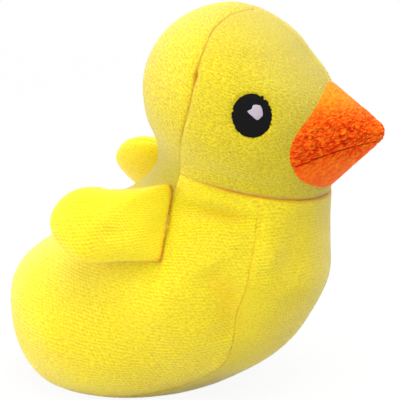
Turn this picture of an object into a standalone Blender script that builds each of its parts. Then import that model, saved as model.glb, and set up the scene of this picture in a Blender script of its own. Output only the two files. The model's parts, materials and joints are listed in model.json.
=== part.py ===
"""A sewn plush duck: plush panels over fibre wads, a two-part bill, stitched eyes and two flapping wings.

The duck looks along -Y and rests on z = 0. Its form is one family of closed rings, strung from the
crown through the neck and the belly to the rear. Each panel is a patch of that form between two seams.
"""

import math

import bmesh
import bpy
import numpy as np
from mathutils import Matrix, Vector

for old in list(bpy.data.objects):
    bpy.data.objects.remove(old, do_unlink=True)

# Driving sizes of the stuffed form, in metres
FORM_HEIGHT = 0.144
FORM_DEPTH = 0.120
FORM_WIDTH = 0.089

# Plush, seams and fit
SKIN = 0.0022
SEAM_DIP = 0.0011
SEAM_SPREAD = 0.0016
SEAM_RIM = 0.0009
SEAM_SHOULDER = 0.0022
GAP = 0.0003
WAD_SLACK = 0.0010
SEAM_END = 0.0005

# The soft underside: how far it is pressed up, and how softly it leaves the floor
REST_SINK = 0.0007
REST_SOFTNESS = 0.0025

# Each ring from the crown to the rear: where it meets the back line (forward, up), where it meets the
# front line (forward, up), and half its width. They are shares of depth, height and width.
RING_SHARES = (
    (0.265, 0.995, 0.265, 0.995, 0.000),
    (0.145, 1.005, 0.385, 0.935, 0.195),
    (0.015, 0.950, 0.435, 0.885, 0.320),
    (-0.065, 0.845, 0.505, 0.800, 0.395),
    (-0.065, 0.740, 0.510, 0.690, 0.410),
    (-0.040, 0.685, 0.510, 0.595, 0.380),
    (-0.025, 0.625, 0.510, 0.535, 0.355),
    (-0.055, 0.565, 0.505, 0.395, 0.400),
    (-0.155, 0.500, 0.500, 0.285, 0.455),
    (-0.270, 0.455, 0.400, 0.140, 0.490),
    (-0.380, 0.375, 0.260, 0.045, 0.500),
    (-0.470, 0.315, 0.050, -0.040, 0.485),
    (-0.500, 0.240, -0.125, -0.065, 0.410),
    (-0.490, 0.160, -0.330, -0.030, 0.270),
    (-0.465, 0.080, -0.465, 0.080, 0.000),
)
LAST_RING = len(RING_SHARES) - 1
NECK_RING = 6
# The power of each ring's outline: 2 is an ellipse, and more is squarer
ROUNDNESS_RINGS = (0, 9, 10, 11, 12, 13, 14)
ROUNDNESS_SHARES = (2.05, 2.05, 2.0, 2.1, 2.3, 2.3, 2.1)

# Seam lines: at these rings, the angle from the front line in degrees
HOOD_SEAM_RINGS = (0.0, 0.7, 1.3, 1.9, 2.6, 3.3, 3.8, 4.3, 5.3, 6.6, 7.2, 8.0, 8.6, 9.0, 9.2)
HOOD_SEAM_DEGREES = (110, 120, 115, 105, 103, 105, 109, 113, 121, 126, 131, 145, 159, 172, 180)
HOOD_TIP_RING = 9.16
BELLY_SEAM_RINGS = (6.0, 7.0, 7.6, 8.1, 8.6, 9.0, 9.8, 10.4, 11.0, 11.6, 12.2, 13.0, 14.0)
BELLY_SEAM_DEGREES = (68, 67, 66, 62, 57, 50, 40, 41, 49, 58, 64, 60, 60)

# Bill: a blunt cone on the face, split by the mouth line. Its nose is placed by shares of the form's
# depth and height, and the mouth line by shares of the bill's length, forward and up from the nose.
BILL_NOSE_FORWARD_SHARE = 0.6325
BILL_NOSE_UP_SHARE = 0.6917
BILL_NOSE_RADIUS = 0.0045
BILL_FLARE_DEGREES = 40.8
BILL_RISE_DEGREES = 4.0
BILL_LENGTH = 0.031
BILL_ROOT_RADIUS = 0.0270
LEVEL_POWER = 16.0
BILL_SKIN = 0.0016
BILL_SEAT = 0.00045
BILL_SEAT_RING = 8.0
MOUTH_CORNER_SHARES = (-0.835, -0.332)
MOUTH_MIDDLE_SHARES = (-0.190, -0.126)
MOUTH_END_SHARES = (0.455, -0.094)

# Eyes: stitched ovals set into the pile, each with a paler patch
EYE_RING = 3.38
EYE_DEGREES = 70.0
EYE_WIDTH = 0.0134
EYE_HEIGHT = 0.0152
EYE_TILT_DEGREES = 8.0
EYE_SUNK = 0.0007
EYE_PROUD = 0.0005
HIGHLIGHT_WIDTH = 0.0046
HIGHLIGHT_HEIGHT = 0.0050
HIGHLIGHT_FORWARD = 0.0013
HIGHLIGHT_UP = 0.0015
HIGHLIGHT_SUNK = 0.0001
HIGHLIGHT_PROUD = 0.0011
EYE_CROWN_SHARE = 0.5

# Wings: the ends of the root line on the flank as ring and angle, the way each wing points, and its
# outline from the root, in shares of its length and of the root line
WING_ROOT_LOW_RING = 8.22
WING_ROOT_LOW_DEGREES = 104.0
WING_ROOT_HIGH_RING = 6.59
WING_ROOT_HIGH_DEGREES = 126.0
WING_SPLAY_DEGREES = 9.0
WING_LIFT = 0.0011
WING_LENGTH = 0.0440
WING_THICKNESS = 0.0130
WING_SKIN = 0.0011
WING_NOSE = 0.0016
WING_OUTLINE_SHARES = (
    (0.00, 0.02),
    (0.00, -0.42),
    (0.06, -0.53),
    (0.30, -0.58),
    (0.58, -0.66),
    (0.73, -0.60),
    (0.84, -0.47),
    (0.93, -0.31),
    (0.96, -0.12),
    (0.93, 0.08),
    (0.85, 0.25),
    (0.73, 0.36),
    (0.60, 0.39),
    (0.48, 0.39),
    (0.25, 0.46),
    (0.07, 0.55),
    (0.00, 0.47),
)
WING_CENTRE_SHARES = (0.50, -0.08)
# Half the thickness on the outer and the inner side, from the root to the tip
WING_PUFF_PLACES = (0.0, 0.10, 0.30, 0.55, 0.80, 1.0)
WING_OUTER_SHARES = (0.12, 0.36, 0.60, 0.64, 0.56, 0.46)
WING_WAD_SHARE = 0.25
WING_INNER_SHARES = (0.12, 0.13, 0.20, 0.30, 0.36, 0.34)

# Mesh counts
HEAD_STEPS = 12
BACK_STEPS = 8
RUMP_STEPS = 12
FACE_COLUMNS = 12
HOOD_COLUMNS = 14
SIDE_COLUMNS = 14
BELLY_COLUMNS = 18
WAD_RINGS_PER_STEP = 3
WAD_SIDES = 22
CUTTER_RINGS_PER_STEP = 2
CUTTER_SIDES = 48
BILL_SIDES = 32
BILL_STEPS = 6
NOSE_STEPS = 3
MOUTH_STEPS = 7
EYE_SIDES = 24
EYE_STEPS = 2
WING_SIDES = 34
WING_STEPS = 4
ARC_SAMPLES = 24

TINY_STEP = 1e-4
POLE_STEP = 1e-3
NEWTON_STEPS = 6
SMOOTH_DEGREES = 40.0


def spline_bends(knots):
    """Second differences of the closed cubic spline through evenly spaced knots."""
    count = len(knots)
    system = 4.0 * np.eye(count) + np.roll(np.eye(count), 1, axis=1) + np.roll(np.eye(count), -1, axis=1)
    turn = np.roll(knots, -1, axis=0) - 2.0 * knots + np.roll(knots, 1, axis=0)
    return np.linalg.solve(system, 6.0 * turn)


def spline_at(knots, bends, place):
    """Points of the closed spline at places measured in knots."""
    place = np.mod(np.asarray(place, float), len(knots))
    first = np.floor(place).astype(int) % len(knots)
    second = (first + 1) % len(knots)
    after = (place - np.floor(place))[..., None]
    before = 1.0 - after
    straight = before * knots[first] + after * knots[second]
    bent = (before**3 - before) * bends[first] + (after**3 - after) * bends[second]
    return straight + bent / 6.0


def form_loop():
    """The front line down from the crown and the back line up again, with their half widths."""
    shares = np.array(RING_SHARES)
    sizes = np.array((FORM_DEPTH, FORM_HEIGHT))
    half_width = shares[:, 4:] * FORM_WIDTH
    front = np.hstack((shares[:, 2:4] * sizes, half_width))
    back = np.hstack((shares[:, 0:2] * sizes, -half_width))
    return np.vstack((front, back[-2:0:-1]))


FORM_KNOTS = form_loop()
FORM_BENDS = spline_bends(FORM_KNOTS)


def signed_power(value, power):
    return np.sign(value) * np.abs(value) ** power


def form_point(ring, angle):
    """A point of the form. Angle 0 is the front line, and a positive angle is on the duck's left, +X."""
    front = spline_at(FORM_KNOTS, FORM_BENDS, ring)
    back = spline_at(FORM_KNOTS, FORM_BENDS, len(FORM_KNOTS) - ring)
    power = 2.0 / np.interp(ring, ROUNDNESS_RINGS, ROUNDNESS_SHARES)
    along = signed_power(np.cos(angle), power)
    across = signed_power(np.sin(angle), power)
    forward = (front[..., 0] + back[..., 0]) / 2 + (front[..., 0] - back[..., 0]) / 2 * along
    up = (front[..., 1] + back[..., 1]) / 2 + (front[..., 1] - back[..., 1]) / 2 * along
    up = (up + np.sqrt(up**2 + REST_SOFTNESS**2)) / 2 - REST_SINK
    return np.stack((front[..., 2] * across, -forward, up), axis=-1)


def form_normal(ring, angle):
    """The outward unit normal of the form."""
    down = form_point(ring + TINY_STEP, angle) - form_point(ring - TINY_STEP, angle)
    round_it = form_point(ring, angle + TINY_STEP) - form_point(ring, angle - TINY_STEP)
    normal = np.cross(down, round_it)
    return normal / np.linalg.norm(normal, axis=-1, keepdims=True)


def sunk_point(ring, angle, depth):
    """A point of the form moved inward by a depth."""
    return form_point(ring, angle) - form_normal(ring, angle) * np.asarray(depth)[..., None]


def seam_angle(rings, seam_rings, seam_degrees):
    """A seam's angle at each ring, as a smooth line through its marks."""
    marks = np.radians(np.array(seam_degrees, float))
    places = np.array(seam_rings)
    slopes = np.gradient(marks, places)
    after = np.clip(np.searchsorted(places, rings, side="right"), 1, len(places) - 1)
    width = places[after] - places[after - 1]
    share = np.clip((rings - places[after - 1]) / width, 0.0, 1.0)
    rest = 1 - share
    start = rest**2 * ((1 + 2 * share) * marks[after - 1] + share * width * slopes[after - 1])
    end = share**2 * ((1 + 2 * rest) * marks[after] - rest * width * slopes[after])
    return np.minimum(start + end, math.pi)


def hood_seam(rings):
    return seam_angle(rings, HOOD_SEAM_RINGS, HOOD_SEAM_DEGREES)


def belly_seam(rings):
    return seam_angle(rings, BELLY_SEAM_RINGS, BELLY_SEAM_DEGREES)


def ring_length(ring, angle):
    """Metres of form for one step of ring."""
    step = form_point(ring + TINY_STEP, angle) - form_point(ring - TINY_STEP, angle)
    return np.linalg.norm(step, axis=-1) / (2 * TINY_STEP)


def angle_length(ring, angle):
    """Metres of form for one radian of angle."""
    step = form_point(ring, angle + TINY_STEP) - form_point(ring, angle - TINY_STEP)
    return np.linalg.norm(step, axis=-1) / (2 * TINY_STEP)


def length_between(places, speeds):
    """The length along evenly read places, from the metres that each step of one is worth."""
    return float(np.sum((speeds[1:] + speeds[:-1]) / 2 * np.diff(places)))


def rimmed_shares(length, count):
    """Shares from 0 to 1 in count steps, with two close steps at each end for the rolled seam edge."""
    close = min(SEAM_RIM / length, 1.0 / count)
    near = min(SEAM_SHOULDER / length, 2.0 / count)
    middle = np.linspace(near, 1.0 - near, count - 3)
    return np.concatenate(((0.0, close), middle, (1.0 - close, 1.0)))


def head_rings():
    """Rows of the head's panels, from near the crown to the neck seam."""
    start = SEAM_END / ring_length(0.0, math.pi / 2)
    metre = 1.0 / ring_length(NECK_RING, math.pi / 2)
    middle = np.linspace(start, NECK_RING - SEAM_SHOULDER * metre, HEAD_STEPS)
    return np.concatenate((middle, (NECK_RING - SEAM_RIM * metre, NECK_RING - GAP / 2 * metre)))


def body_rings():
    """Rows of the body's panels, from the neck seam past the hood's tip to near the rear."""
    metre = 1.0 / ring_length(NECK_RING, math.pi / 2)
    end = LAST_RING - SEAM_END / ring_length(LAST_RING, math.pi / 2)
    rim = (NECK_RING + GAP / 2 * metre, NECK_RING + SEAM_RIM * metre)
    back = np.linspace(NECK_RING + SEAM_SHOULDER * metre, HOOD_TIP_RING, BACK_STEPS)
    rump = np.linspace(HOOD_TIP_RING, end, RUMP_STEPS)
    return np.concatenate((rim, back, rump[1:]))


def hood_rings():
    """Rows of the hood: the head's and the body's down to its tip."""
    body = body_rings()
    return np.concatenate((head_rings()[:-1], (NECK_RING,), body[1:][body[1:] <= HOOD_TIP_RING]))


def panel_angles(rings, low, high, count):
    """Each row's angles between two seams, half a gap short of each."""
    rows = []
    for ring, start, end in zip(rings, low, high):
        start = start + GAP / 2 / angle_length(ring, start)
        end = end - GAP / 2 / angle_length(ring, end)
        samples = np.linspace(start, end, ARC_SAMPLES)
        length = length_between(samples, angle_length(ring, samples))
        rows.append(start + (end - start) * rimmed_shares(length, count))
    return np.array(rows)


def edge_distance(points, top_is_seam, bottom_is_seam):
    """How far each point of a panel's grid lies from the nearest seam."""
    across = np.linalg.norm(np.diff(points, axis=1), axis=-1)
    along = np.linalg.norm(np.diff(points, axis=0), axis=-1)
    from_low = np.pad(np.cumsum(across, axis=1), ((0, 0), (1, 0)))
    from_top = np.pad(np.cumsum(along, axis=0), ((1, 0), (0, 0)))
    distance = np.minimum(from_low, from_low[:, -1:] - from_low)
    if top_is_seam:
        distance = np.minimum(distance, from_top)
    if bottom_is_seam:
        distance = np.minimum(distance, from_top[-1:] - from_top)
    return distance


def grid_faces(rows, columns, start):
    """Quads over a grid of points whose first index is start."""
    faces = []
    for row in range(rows - 1):
        for column in range(columns - 1):
            corner = start + row * columns + column
            faces.append((corner, corner + 1, corner + columns + 1, corner + columns))
    return faces


def border(rows, columns):
    """The indices round a grid, in order."""
    top = [column for column in range(columns)]
    right = [row * columns + columns - 1 for row in range(1, rows)]
    bottom = [(rows - 1) * columns + column for column in range(columns - 2, -1, -1)]
    left = [row * columns for row in range(rows - 2, 0, -1)]
    return top + right + bottom + left


def shell_mesh(outer, inner):
    """Points and faces of a closed shell between two grids of points."""
    rows, columns = outer.shape[:2]
    count = rows * columns
    points = np.concatenate((outer.reshape(-1, 3), inner.reshape(-1, 3)))
    faces = grid_faces(rows, columns, 0)
    faces += [face[::-1] for face in grid_faces(rows, columns, count)]
    edge = border(rows, columns)
    for here, after in zip(edge, edge[1:] + edge[:1]):
        faces.append((after, here, here + count, after + count))
    return points, faces


def new_object(name, points, faces, material):
    """An object from points and faces, facing out."""
    bm = bmesh.new()
    corners = [bm.verts.new(point) for point in points]
    for face in faces:
        bm.faces.new([corners[index] for index in face])
    if bm.calc_volume(signed=True) < 0:
        bmesh.ops.reverse_faces(bm, faces=bm.faces)
    mesh = bpy.data.meshes.new(name)
    bm.to_mesh(mesh)
    bm.free()
    mesh.shade_smooth()
    mesh.set_sharp_from_angle(angle=math.radians(SMOOTH_DEGREES))
    mesh.materials.append(material)
    made = bpy.data.objects.new(name, mesh)
    bpy.context.scene.collection.objects.link(made)
    return made


def as_cutter(obj):
    obj.hide_render = True
    obj.display_type = "WIRE"
    return obj


def cut(obj, cutter):
    modifier = obj.modifiers.new("cut_by_" + cutter.name, "BOOLEAN")
    modifier.operation = "DIFFERENCE"
    modifier.solver = "EXACT"
    modifier.object = cutter


def surface_material(name, colour, roughness):
    material = bpy.data.materials.new(name)
    material.use_nodes = True
    shader = material.node_tree.nodes["Principled BSDF"]
    shader.inputs["Base Color"].default_value = (*colour, 1.0)
    shader.inputs["Roughness"].default_value = roughness
    shader.inputs["Metallic"].default_value = 0.0
    material.diffuse_color = (*colour, 1.0)
    return material


YELLOW_PLUSH = surface_material("yellow_plush", (0.88, 0.72, 0.02), 0.95)
ORANGE_PLUSH = surface_material("orange_plush", (0.90, 0.16, 0.01), 0.95)
BLACK_THREAD = surface_material("black_thread", (0.010, 0.010, 0.012), 0.6)
PALE_THREAD = surface_material("pale_thread", (0.72, 0.66, 0.78), 0.6)
WHITE_FIBRE = surface_material("white_fibre", (0.85, 0.85, 0.83), 1.0)


def panel(name, rings, low, high, columns, top_is_seam, bottom_is_seam):
    """A plush panel between two seams, its edges dipping where they are sewn."""
    angles = panel_angles(rings, low, high, columns)
    rows = np.repeat(rings[:, None], angles.shape[1], axis=1)
    distance = edge_distance(form_point(rows, angles), top_is_seam, bottom_is_seam)
    dip = SEAM_DIP * np.exp(-((distance / SEAM_SPREAD) ** 2))
    outer = sunk_point(rows, angles, dip)
    inner = sunk_point(rows, angles, np.full(angles.shape, SKIN))
    points, faces = shell_mesh(outer, inner)
    return new_object(name, points, faces, YELLOW_PLUSH)


def make_face(name, side):
    """One cheek, from the crown to the neck seam and from the hood seam to the centre line."""
    rings = head_rings()
    seam = hood_seam(rings)
    centre = np.zeros(len(rings))
    low, high = (centre, seam) if side > 0 else (-seam, centre)
    return panel(name, rings, low, high, FACE_COLUMNS, False, True)


def make_hood():
    """The panel over the back of the head, the nape and the top of the back."""
    rings = hood_rings()
    seam = hood_seam(rings)
    return panel("back_gusset", rings, seam, 2 * math.pi - seam, HOOD_COLUMNS, False, False)


def make_body_side(name, side):
    """One flank, from the neck seam to the rear and from the hood or the back seam to the belly seam."""
    rings = body_rings()
    low, high = belly_seam(rings), hood_seam(rings)
    if side < 0:
        low, high = -high, -low
    return panel(name, rings, low, high, SIDE_COLUMNS, True, False)


def make_belly():
    """The chest and the underside in one panel, cut flat where it rests."""
    rings = body_rings()
    seam = belly_seam(rings)
    belly = panel("belly_gusset", rings, -seam, seam, BELLY_COLUMNS, True, False)
    flatten_underside(belly)
    return belly


def flatten_underside(obj):
    """Cuts the object off at z = 0 and closes it with one flat face."""
    bm = bmesh.new()
    bm.from_mesh(obj.data)
    everything = bm.verts[:] + bm.edges[:] + bm.faces[:]
    bmesh.ops.bisect_plane(bm, geom=everything, plane_co=(0, 0, 0), plane_no=(0, 0, 1), clear_inner=True)
    open_edges = [edge for edge in bm.edges if edge.is_boundary]
    bmesh.ops.holes_fill(bm, edges=open_edges)
    bmesh.ops.recalc_face_normals(bm, faces=bm.faces)
    bm.to_mesh(obj.data)
    bm.free()
    obj.data.shade_smooth()
    obj.data.set_sharp_from_angle(angle=math.radians(SMOOTH_DEGREES))


def closed_form(name, first, last, depth, facets, material):
    """A closed solid of the form between two rings, moved inward by a depth."""
    rings_per_step, sides = facets
    count = max(2, round((last - first) * rings_per_step))
    rings = np.linspace(first, last, count + 1)
    angles = np.linspace(0.0, 2 * math.pi, sides, endpoint=False)
    points = []
    for ring in rings:
        at_pole = ring in (0.0, float(LAST_RING))
        ring = np.clip(ring, POLE_STEP, LAST_RING - POLE_STEP)
        circle = sunk_point(np.full(sides, ring), angles, np.full(sides, depth))
        points.append(circle.mean(axis=0, keepdims=True) if at_pole else circle)
    faces = []
    start = 0
    for here, after in zip(points, points[1:]):
        for side in range(sides):
            turn = (side + 1) % sides
            lower = start + len(here)
            if len(here) == 1:
                faces.append((start, lower + side, lower + turn))
            elif len(after) == 1:
                faces.append((start + side, lower, start + turn))
            else:
                faces.append((start + side, lower + side, lower + turn, start + turn))
        start += len(here)
    total = start + len(points[-1])
    for end_points, first_index in ((points[0], 0), (points[-1], start)):
        if len(end_points) == 1:
            continue
        points.append(end_points.mean(axis=0, keepdims=True))
        for side in range(sides):
            fan = (first_index + side, first_index + (side + 1) % sides, total)
            faces.append(fan if first_index == 0 else fan[::-1])
        total += 1
    return new_object(name, np.concatenate(points), faces, material)


def blunted(radius, limit):
    """A radius that follows the first value and levels off at the second."""
    return (radius**-LEVEL_POWER + limit**-LEVEL_POWER) ** (-1.0 / LEVEL_POWER)


def bill_solid(name, shrink, extra_length, material):
    """A blunt cone along the bill's axis that levels off towards the face, drawn in by shrink."""
    flare = math.radians(BILL_FLARE_DEGREES)
    nose = BILL_NOSE_RADIUS - shrink
    profile = []
    for step in range(NOSE_STEPS + 1):
        turn = (math.pi / 2 - flare) * step / NOSE_STEPS
        profile.append((nose * math.cos(turn), nose * math.sin(turn)))
    reach, radius = profile[-1]
    length = BILL_LENGTH + extra_length
    for step in range(1, BILL_STEPS + 1):
        back = (length + reach) * step / BILL_STEPS
        cone = radius + back * math.tan(flare)
        profile.append((reach - back, blunted(cone, BILL_ROOT_RADIUS - shrink)))
    rise = math.radians(BILL_RISE_DEGREES)
    axis = np.array((0.0, -math.cos(rise), math.sin(rise)))
    upward = np.array((0.0, math.sin(rise), math.cos(rise)))
    sideways = np.array((1.0, 0.0, 0.0))
    centre = np.array((0.0, -FORM_DEPTH * BILL_NOSE_FORWARD_SHARE, FORM_HEIGHT * BILL_NOSE_UP_SHARE))
    points = [centre + axis * profile[0][0]]
    for reach, radius in profile[1:]:
        for side in range(BILL_SIDES):
            turn = 2 * math.pi * side / BILL_SIDES
            ring_point = sideways * math.cos(turn) + upward * math.sin(turn)
            points.append(centre + axis * reach + ring_point * radius)
    faces = [(0, 1 + side, 1 + (side + 1) % BILL_SIDES) for side in range(BILL_SIDES)]
    for ring in range(len(profile) - 2):
        first = 1 + ring * BILL_SIDES
        for side in range(BILL_SIDES):
            turn = (side + 1) % BILL_SIDES
            faces.append((first + side, first + BILL_SIDES + side, first + BILL_SIDES + turn, first + turn))
    last = 1 + (len(profile) - 2) * BILL_SIDES
    faces.append(tuple(range(last + BILL_SIDES - 1, last - 1, -1)))
    return new_object(name, points, faces, material)


def mouth_line():
    """The mouth line seen from the side, as (forward, up) points."""
    nose = np.array((FORM_DEPTH * BILL_NOSE_FORWARD_SHARE, FORM_HEIGHT * BILL_NOSE_UP_SHARE))
    marks = np.array((MOUTH_CORNER_SHARES, MOUTH_MIDDLE_SHARES, MOUTH_END_SHARES))
    corner, middle, end = nose + BILL_LENGTH * marks
    pull = 2 * middle - (corner + end) / 2
    line = []
    for step in range(MOUTH_STEPS + 1):
        share = step / MOUTH_STEPS
        line.append((1 - share) ** 2 * corner + 2 * share * (1 - share) * pull + share**2 * end)
    slope = (line[1] - line[0]) / np.linalg.norm(line[1] - line[0])
    line.insert(0, line[0] - slope * BILL_LENGTH)
    return line


def mouth_block(name, way):
    """All that lies above the mouth line, way 1, or below it, way -1, past half a gap."""
    line = [(forward, up - way * GAP / 2) for forward, up in mouth_line()]
    reach = 2 * BILL_ROOT_RADIUS
    far = FORM_HEIGHT * BILL_NOSE_UP_SHARE + way * reach
    outline = line + [(line[-1][0], far), (line[0][0], far)]
    count = len(outline)
    points = [(-reach, -forward, up) for forward, up in outline]
    points += [(reach, -forward, up) for forward, up in outline]
    faces = [tuple(range(count)), tuple(range(2 * count - 1, count - 1, -1))]
    for here in range(count):
        after = (here + 1) % count
        faces.append((after, here, here + count, after + count))
    return as_cutter(new_object(name, points, faces, ORANGE_PLUSH))


def make_bill(head_block):
    """The upper and the lower bill, thin shells on a wad, all seated on the face."""
    hollow = as_cutter(bill_solid("bill_hollow", BILL_SKIN, 2 * BILL_SKIN, WHITE_FIBRE))
    for name, way in (("bill_upper", -1), ("bill_lower", 1)):
        bill = bill_solid(name, 0.0, 0.0, ORANGE_PLUSH)
        cut(bill, hollow)
        cut(bill, head_block)
        cut(bill, mouth_block(name + "_limit", way))
    wad = bill_solid("bill_filling", BILL_SKIN + GAP, 0.0, WHITE_FIBRE)
    cut(wad, head_block)


def form_place(centre, along, upward, offset_along, offset_up):
    """The ring and angle of the form's points at offsets from a centre point, by Newton's steps."""
    ring = np.full(offset_along.shape, float(centre[0]))
    angle = np.full(offset_along.shape, float(centre[1]))
    origin = form_point(np.array(centre[0]), np.array(centre[1]))
    for _ in range(NEWTON_STEPS):
        short = form_point(ring, angle) - origin
        miss = np.stack((offset_along - short @ along, offset_up - short @ upward), axis=-1)
        by_ring = form_point(ring + TINY_STEP, angle) - form_point(ring - TINY_STEP, angle)
        by_angle = form_point(ring, angle + TINY_STEP) - form_point(ring, angle - TINY_STEP)
        slopes = np.stack((by_ring @ along, by_angle @ along, by_ring @ upward, by_angle @ upward), axis=-1)
        slopes = slopes.reshape(*ring.shape, 2, 2)
        change = 2 * TINY_STEP * np.linalg.solve(slopes, miss[..., None])[..., 0]
        ring = ring + change[..., 0]
        angle = angle + change[..., 1]
    return ring, angle


def eye_axes(centre):
    """Forward and upward directions in the form's surface at a ring and angle."""
    normal = form_normal(np.array(centre[0]), np.array(centre[1]))
    forward = np.cross((0.0, 0.0, 1.0), normal)
    forward = forward / np.linalg.norm(forward)
    upward = np.cross(normal, forward)
    return (forward if forward[1] < 0 else -forward), (upward if upward[2] > 0 else -upward)


def pad(name, side, width, height, shift, sunk, proud, material):
    """An oval pad on the form, from a sunk depth to a crowned height, shifted on the cheek."""
    centre = (EYE_RING, side * math.radians(EYE_DEGREES))
    forward, upward = eye_axes(centre)
    tilt = math.radians(EYE_TILT_DEGREES)
    turns = np.linspace(0.0, 2 * math.pi, EYE_SIDES, endpoint=False)
    across = width / 2 * np.cos(turns)
    rise = height / 2 * np.sin(turns)
    rim_forward = across * math.cos(tilt) - rise * math.sin(tilt)
    rim_up = across * math.sin(tilt) + rise * math.cos(tilt)
    layers = []
    for crowned in (True, False):
        rows = []
        for share in np.linspace(0.0, 1.0, EYE_STEPS + 1):
            crown = proud * math.sqrt(1.0 - EYE_CROWN_SHARE * share**2)
            ring, angle = form_place(
                centre, forward, upward, shift[0] + rim_forward * share, shift[1] + rim_up * share
            )
            rows.append(sunk_point(ring, angle, np.full(EYE_SIDES, -crown if crowned else sunk)))
        layers.append(rows)
    return joined_domes(name, layers[0], layers[1], material)


def pad_and_socket(name, side, size, shift, sunk, proud, seat, material):
    """A pad, and the recess for it in the piece that it is stitched to."""
    made = pad(name, side, size[0], size[1], shift, sunk, proud, material)
    width, height = size[0] + 2 * GAP, size[1] + 2 * GAP
    recess = pad(name + "_socket", side, width, height, shift, sunk + GAP, SKIN, material)
    cut(seat, as_cutter(recess))
    return made


def make_eye(side, word, face):
    """A stitched eye let into the face, and its pale patch let into the eye."""
    eye_size = (EYE_WIDTH, EYE_HEIGHT)
    patch_size = (HIGHLIGHT_WIDTH, HIGHLIGHT_HEIGHT)
    patch_shift = (HIGHLIGHT_FORWARD, HIGHLIGHT_UP)
    eye = pad_and_socket("eye_" + word, side, eye_size, (0.0, 0.0), EYE_SUNK, EYE_PROUD, face, BLACK_THREAD)
    name = "eye_highlight_" + word
    pad_and_socket(
        name, side, patch_size, patch_shift, HIGHLIGHT_SUNK, HIGHLIGHT_PROUD, eye, PALE_THREAD
    )


def wing_root(side):
    """The low and the high end of a wing's root line on the flank."""
    low = form_point(WING_ROOT_LOW_RING, side * math.radians(WING_ROOT_LOW_DEGREES))
    high = form_point(WING_ROOT_HIGH_RING, side * math.radians(WING_ROOT_HIGH_DEGREES))
    return low, high


def wing_span():
    low, high = wing_root(1)
    return float(np.linalg.norm(high - low))


def wing_frame(side):
    """Origin and axes of a wing: back along it, up along its root and out through it."""
    low, high = wing_root(side)
    upward = (high - low) / np.linalg.norm(high - low)
    splay = math.radians(WING_SPLAY_DEGREES)
    back = np.array((side * math.sin(splay), math.cos(splay), 0.0))
    back = back - upward * (back @ upward)
    back = back / np.linalg.norm(back)
    out = np.cross(back, upward)
    out = out * side * np.sign(out[0])
    return (low + high) / 2 + out * WING_LIFT + back * WING_NOSE, back, upward, out


def wing_outline():
    """The wing's outline from its root, as points (back, up)."""
    knots = np.array(WING_OUTLINE_SHARES) * (WING_LENGTH, wing_span())
    places = np.linspace(0.0, len(knots), WING_SIDES, endpoint=False)
    outline = spline_at(knots, spline_bends(knots), places)
    outline[:, 0] -= WING_NOSE
    return outline


def wing_half(side, way, shrink, lift):
    """Points of one side of a wing, from its middle out to its edge. Way 1 is the outer side."""
    origin, back, upward, out = wing_frame(side)
    rim = wing_outline()
    middle = np.array(WING_CENTRE_SHARES) * (WING_LENGTH, wing_span())
    puff = WING_OUTER_SHARES if way > 0 else WING_INNER_SHARES
    arms = rim - middle
    reach = np.linalg.norm(arms, axis=1, keepdims=True)
    rows = []
    for share in np.sin(np.linspace(0.0, math.pi / 2, WING_STEPS + 1)):
        flat = middle + arms * share * (1 - shrink / reach)
        place = np.clip((flat[:, 0] + WING_NOSE) / WING_LENGTH, 0.0, 1.0)
        thick = np.interp(place, WING_PUFF_PLACES, puff) * WING_THICKNESS
        crown = math.sqrt(max(0.0, 1 - share**2))
        height = np.maximum(thick - shrink, WING_WAD_SHARE * thick) * crown + lift
        local = origin + np.outer(flat[:, 0], back) + np.outer(flat[:, 1], upward)
        rows.append(local + np.outer(way * height, out))
    return rows


def dome(rows, start, flip):
    """Quads and a fan over rows that open out from one point. The first row stands for that point."""
    sides = len(rows[0])
    faces = []
    for here in range(sides):
        after = (here + 1) % sides
        faces.append((start, start + 1 + here, start + 1 + after))
    for step in range(len(rows) - 2):
        first = start + 1 + step * sides
        for here in range(sides):
            after = (here + 1) % sides
            faces.append((first + here, first + sides + here, first + sides + after, first + after))
    return [face[::-1] for face in faces] if flip else faces


def dome_points(rows):
    return np.concatenate([rows[0].mean(axis=0, keepdims=True)] + rows[1:])


def joined_domes(name, top, bottom, material):
    """A closed solid between two domes with the same number of points round the edge."""
    sides = len(top[0])
    count = 1 + sides * (len(top) - 1)
    faces = dome(top, 0, False) + dome(bottom, count, True)
    rim = count - sides
    for here in range(sides):
        after = (here + 1) % sides
        faces.append((rim + here, rim + after, rim + after + count, rim + here + count)[::-1])
    points = np.concatenate((dome_points(top), dome_points(bottom)))
    return new_object(name, points, faces, material)


def sealed_domes(name, top, bottom, material):
    """A closed solid of two domes that share their edge."""
    count = 1 + len(top[0]) * (len(top) - 1)
    rim = count - len(top[0])
    faces = dome(top, 0, False)
    for face in dome(bottom, count, True):
        faces.append(tuple(index - count if index - count >= rim else index for index in face))
    points = np.concatenate((dome_points(top), dome_points(bottom)[:rim]))
    return new_object(name, points, faces, material)


def hang(piece, side):
    """Moves a wing piece's origin onto its hinge, the middle of the root line."""
    hinge = Vector(wing_frame(side)[0])
    piece.data.transform(Matrix.Translation(-hinge))
    piece.location = hinge


def make_wing(side, word):
    """Two plush panels sewn round the edge over a wad, hinged on the root line."""
    for layer, way in (("outer", 1), ("inner", -1)):
        outside = wing_half(side, way, 0.0, GAP / 2)
        inside = wing_half(side, way, WING_SKIN, GAP / 2)
        hang(joined_domes(f"wing_{word}_{layer}", outside, inside, YELLOW_PLUSH), side)
    top = wing_half(side, 1, WING_SKIN + GAP, 0.0)
    bottom = wing_half(side, -1, WING_SKIN + GAP, 0.0)
    hang(sealed_domes(f"wing_{word}_filling", top, bottom, WHITE_FIBRE), side)


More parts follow.
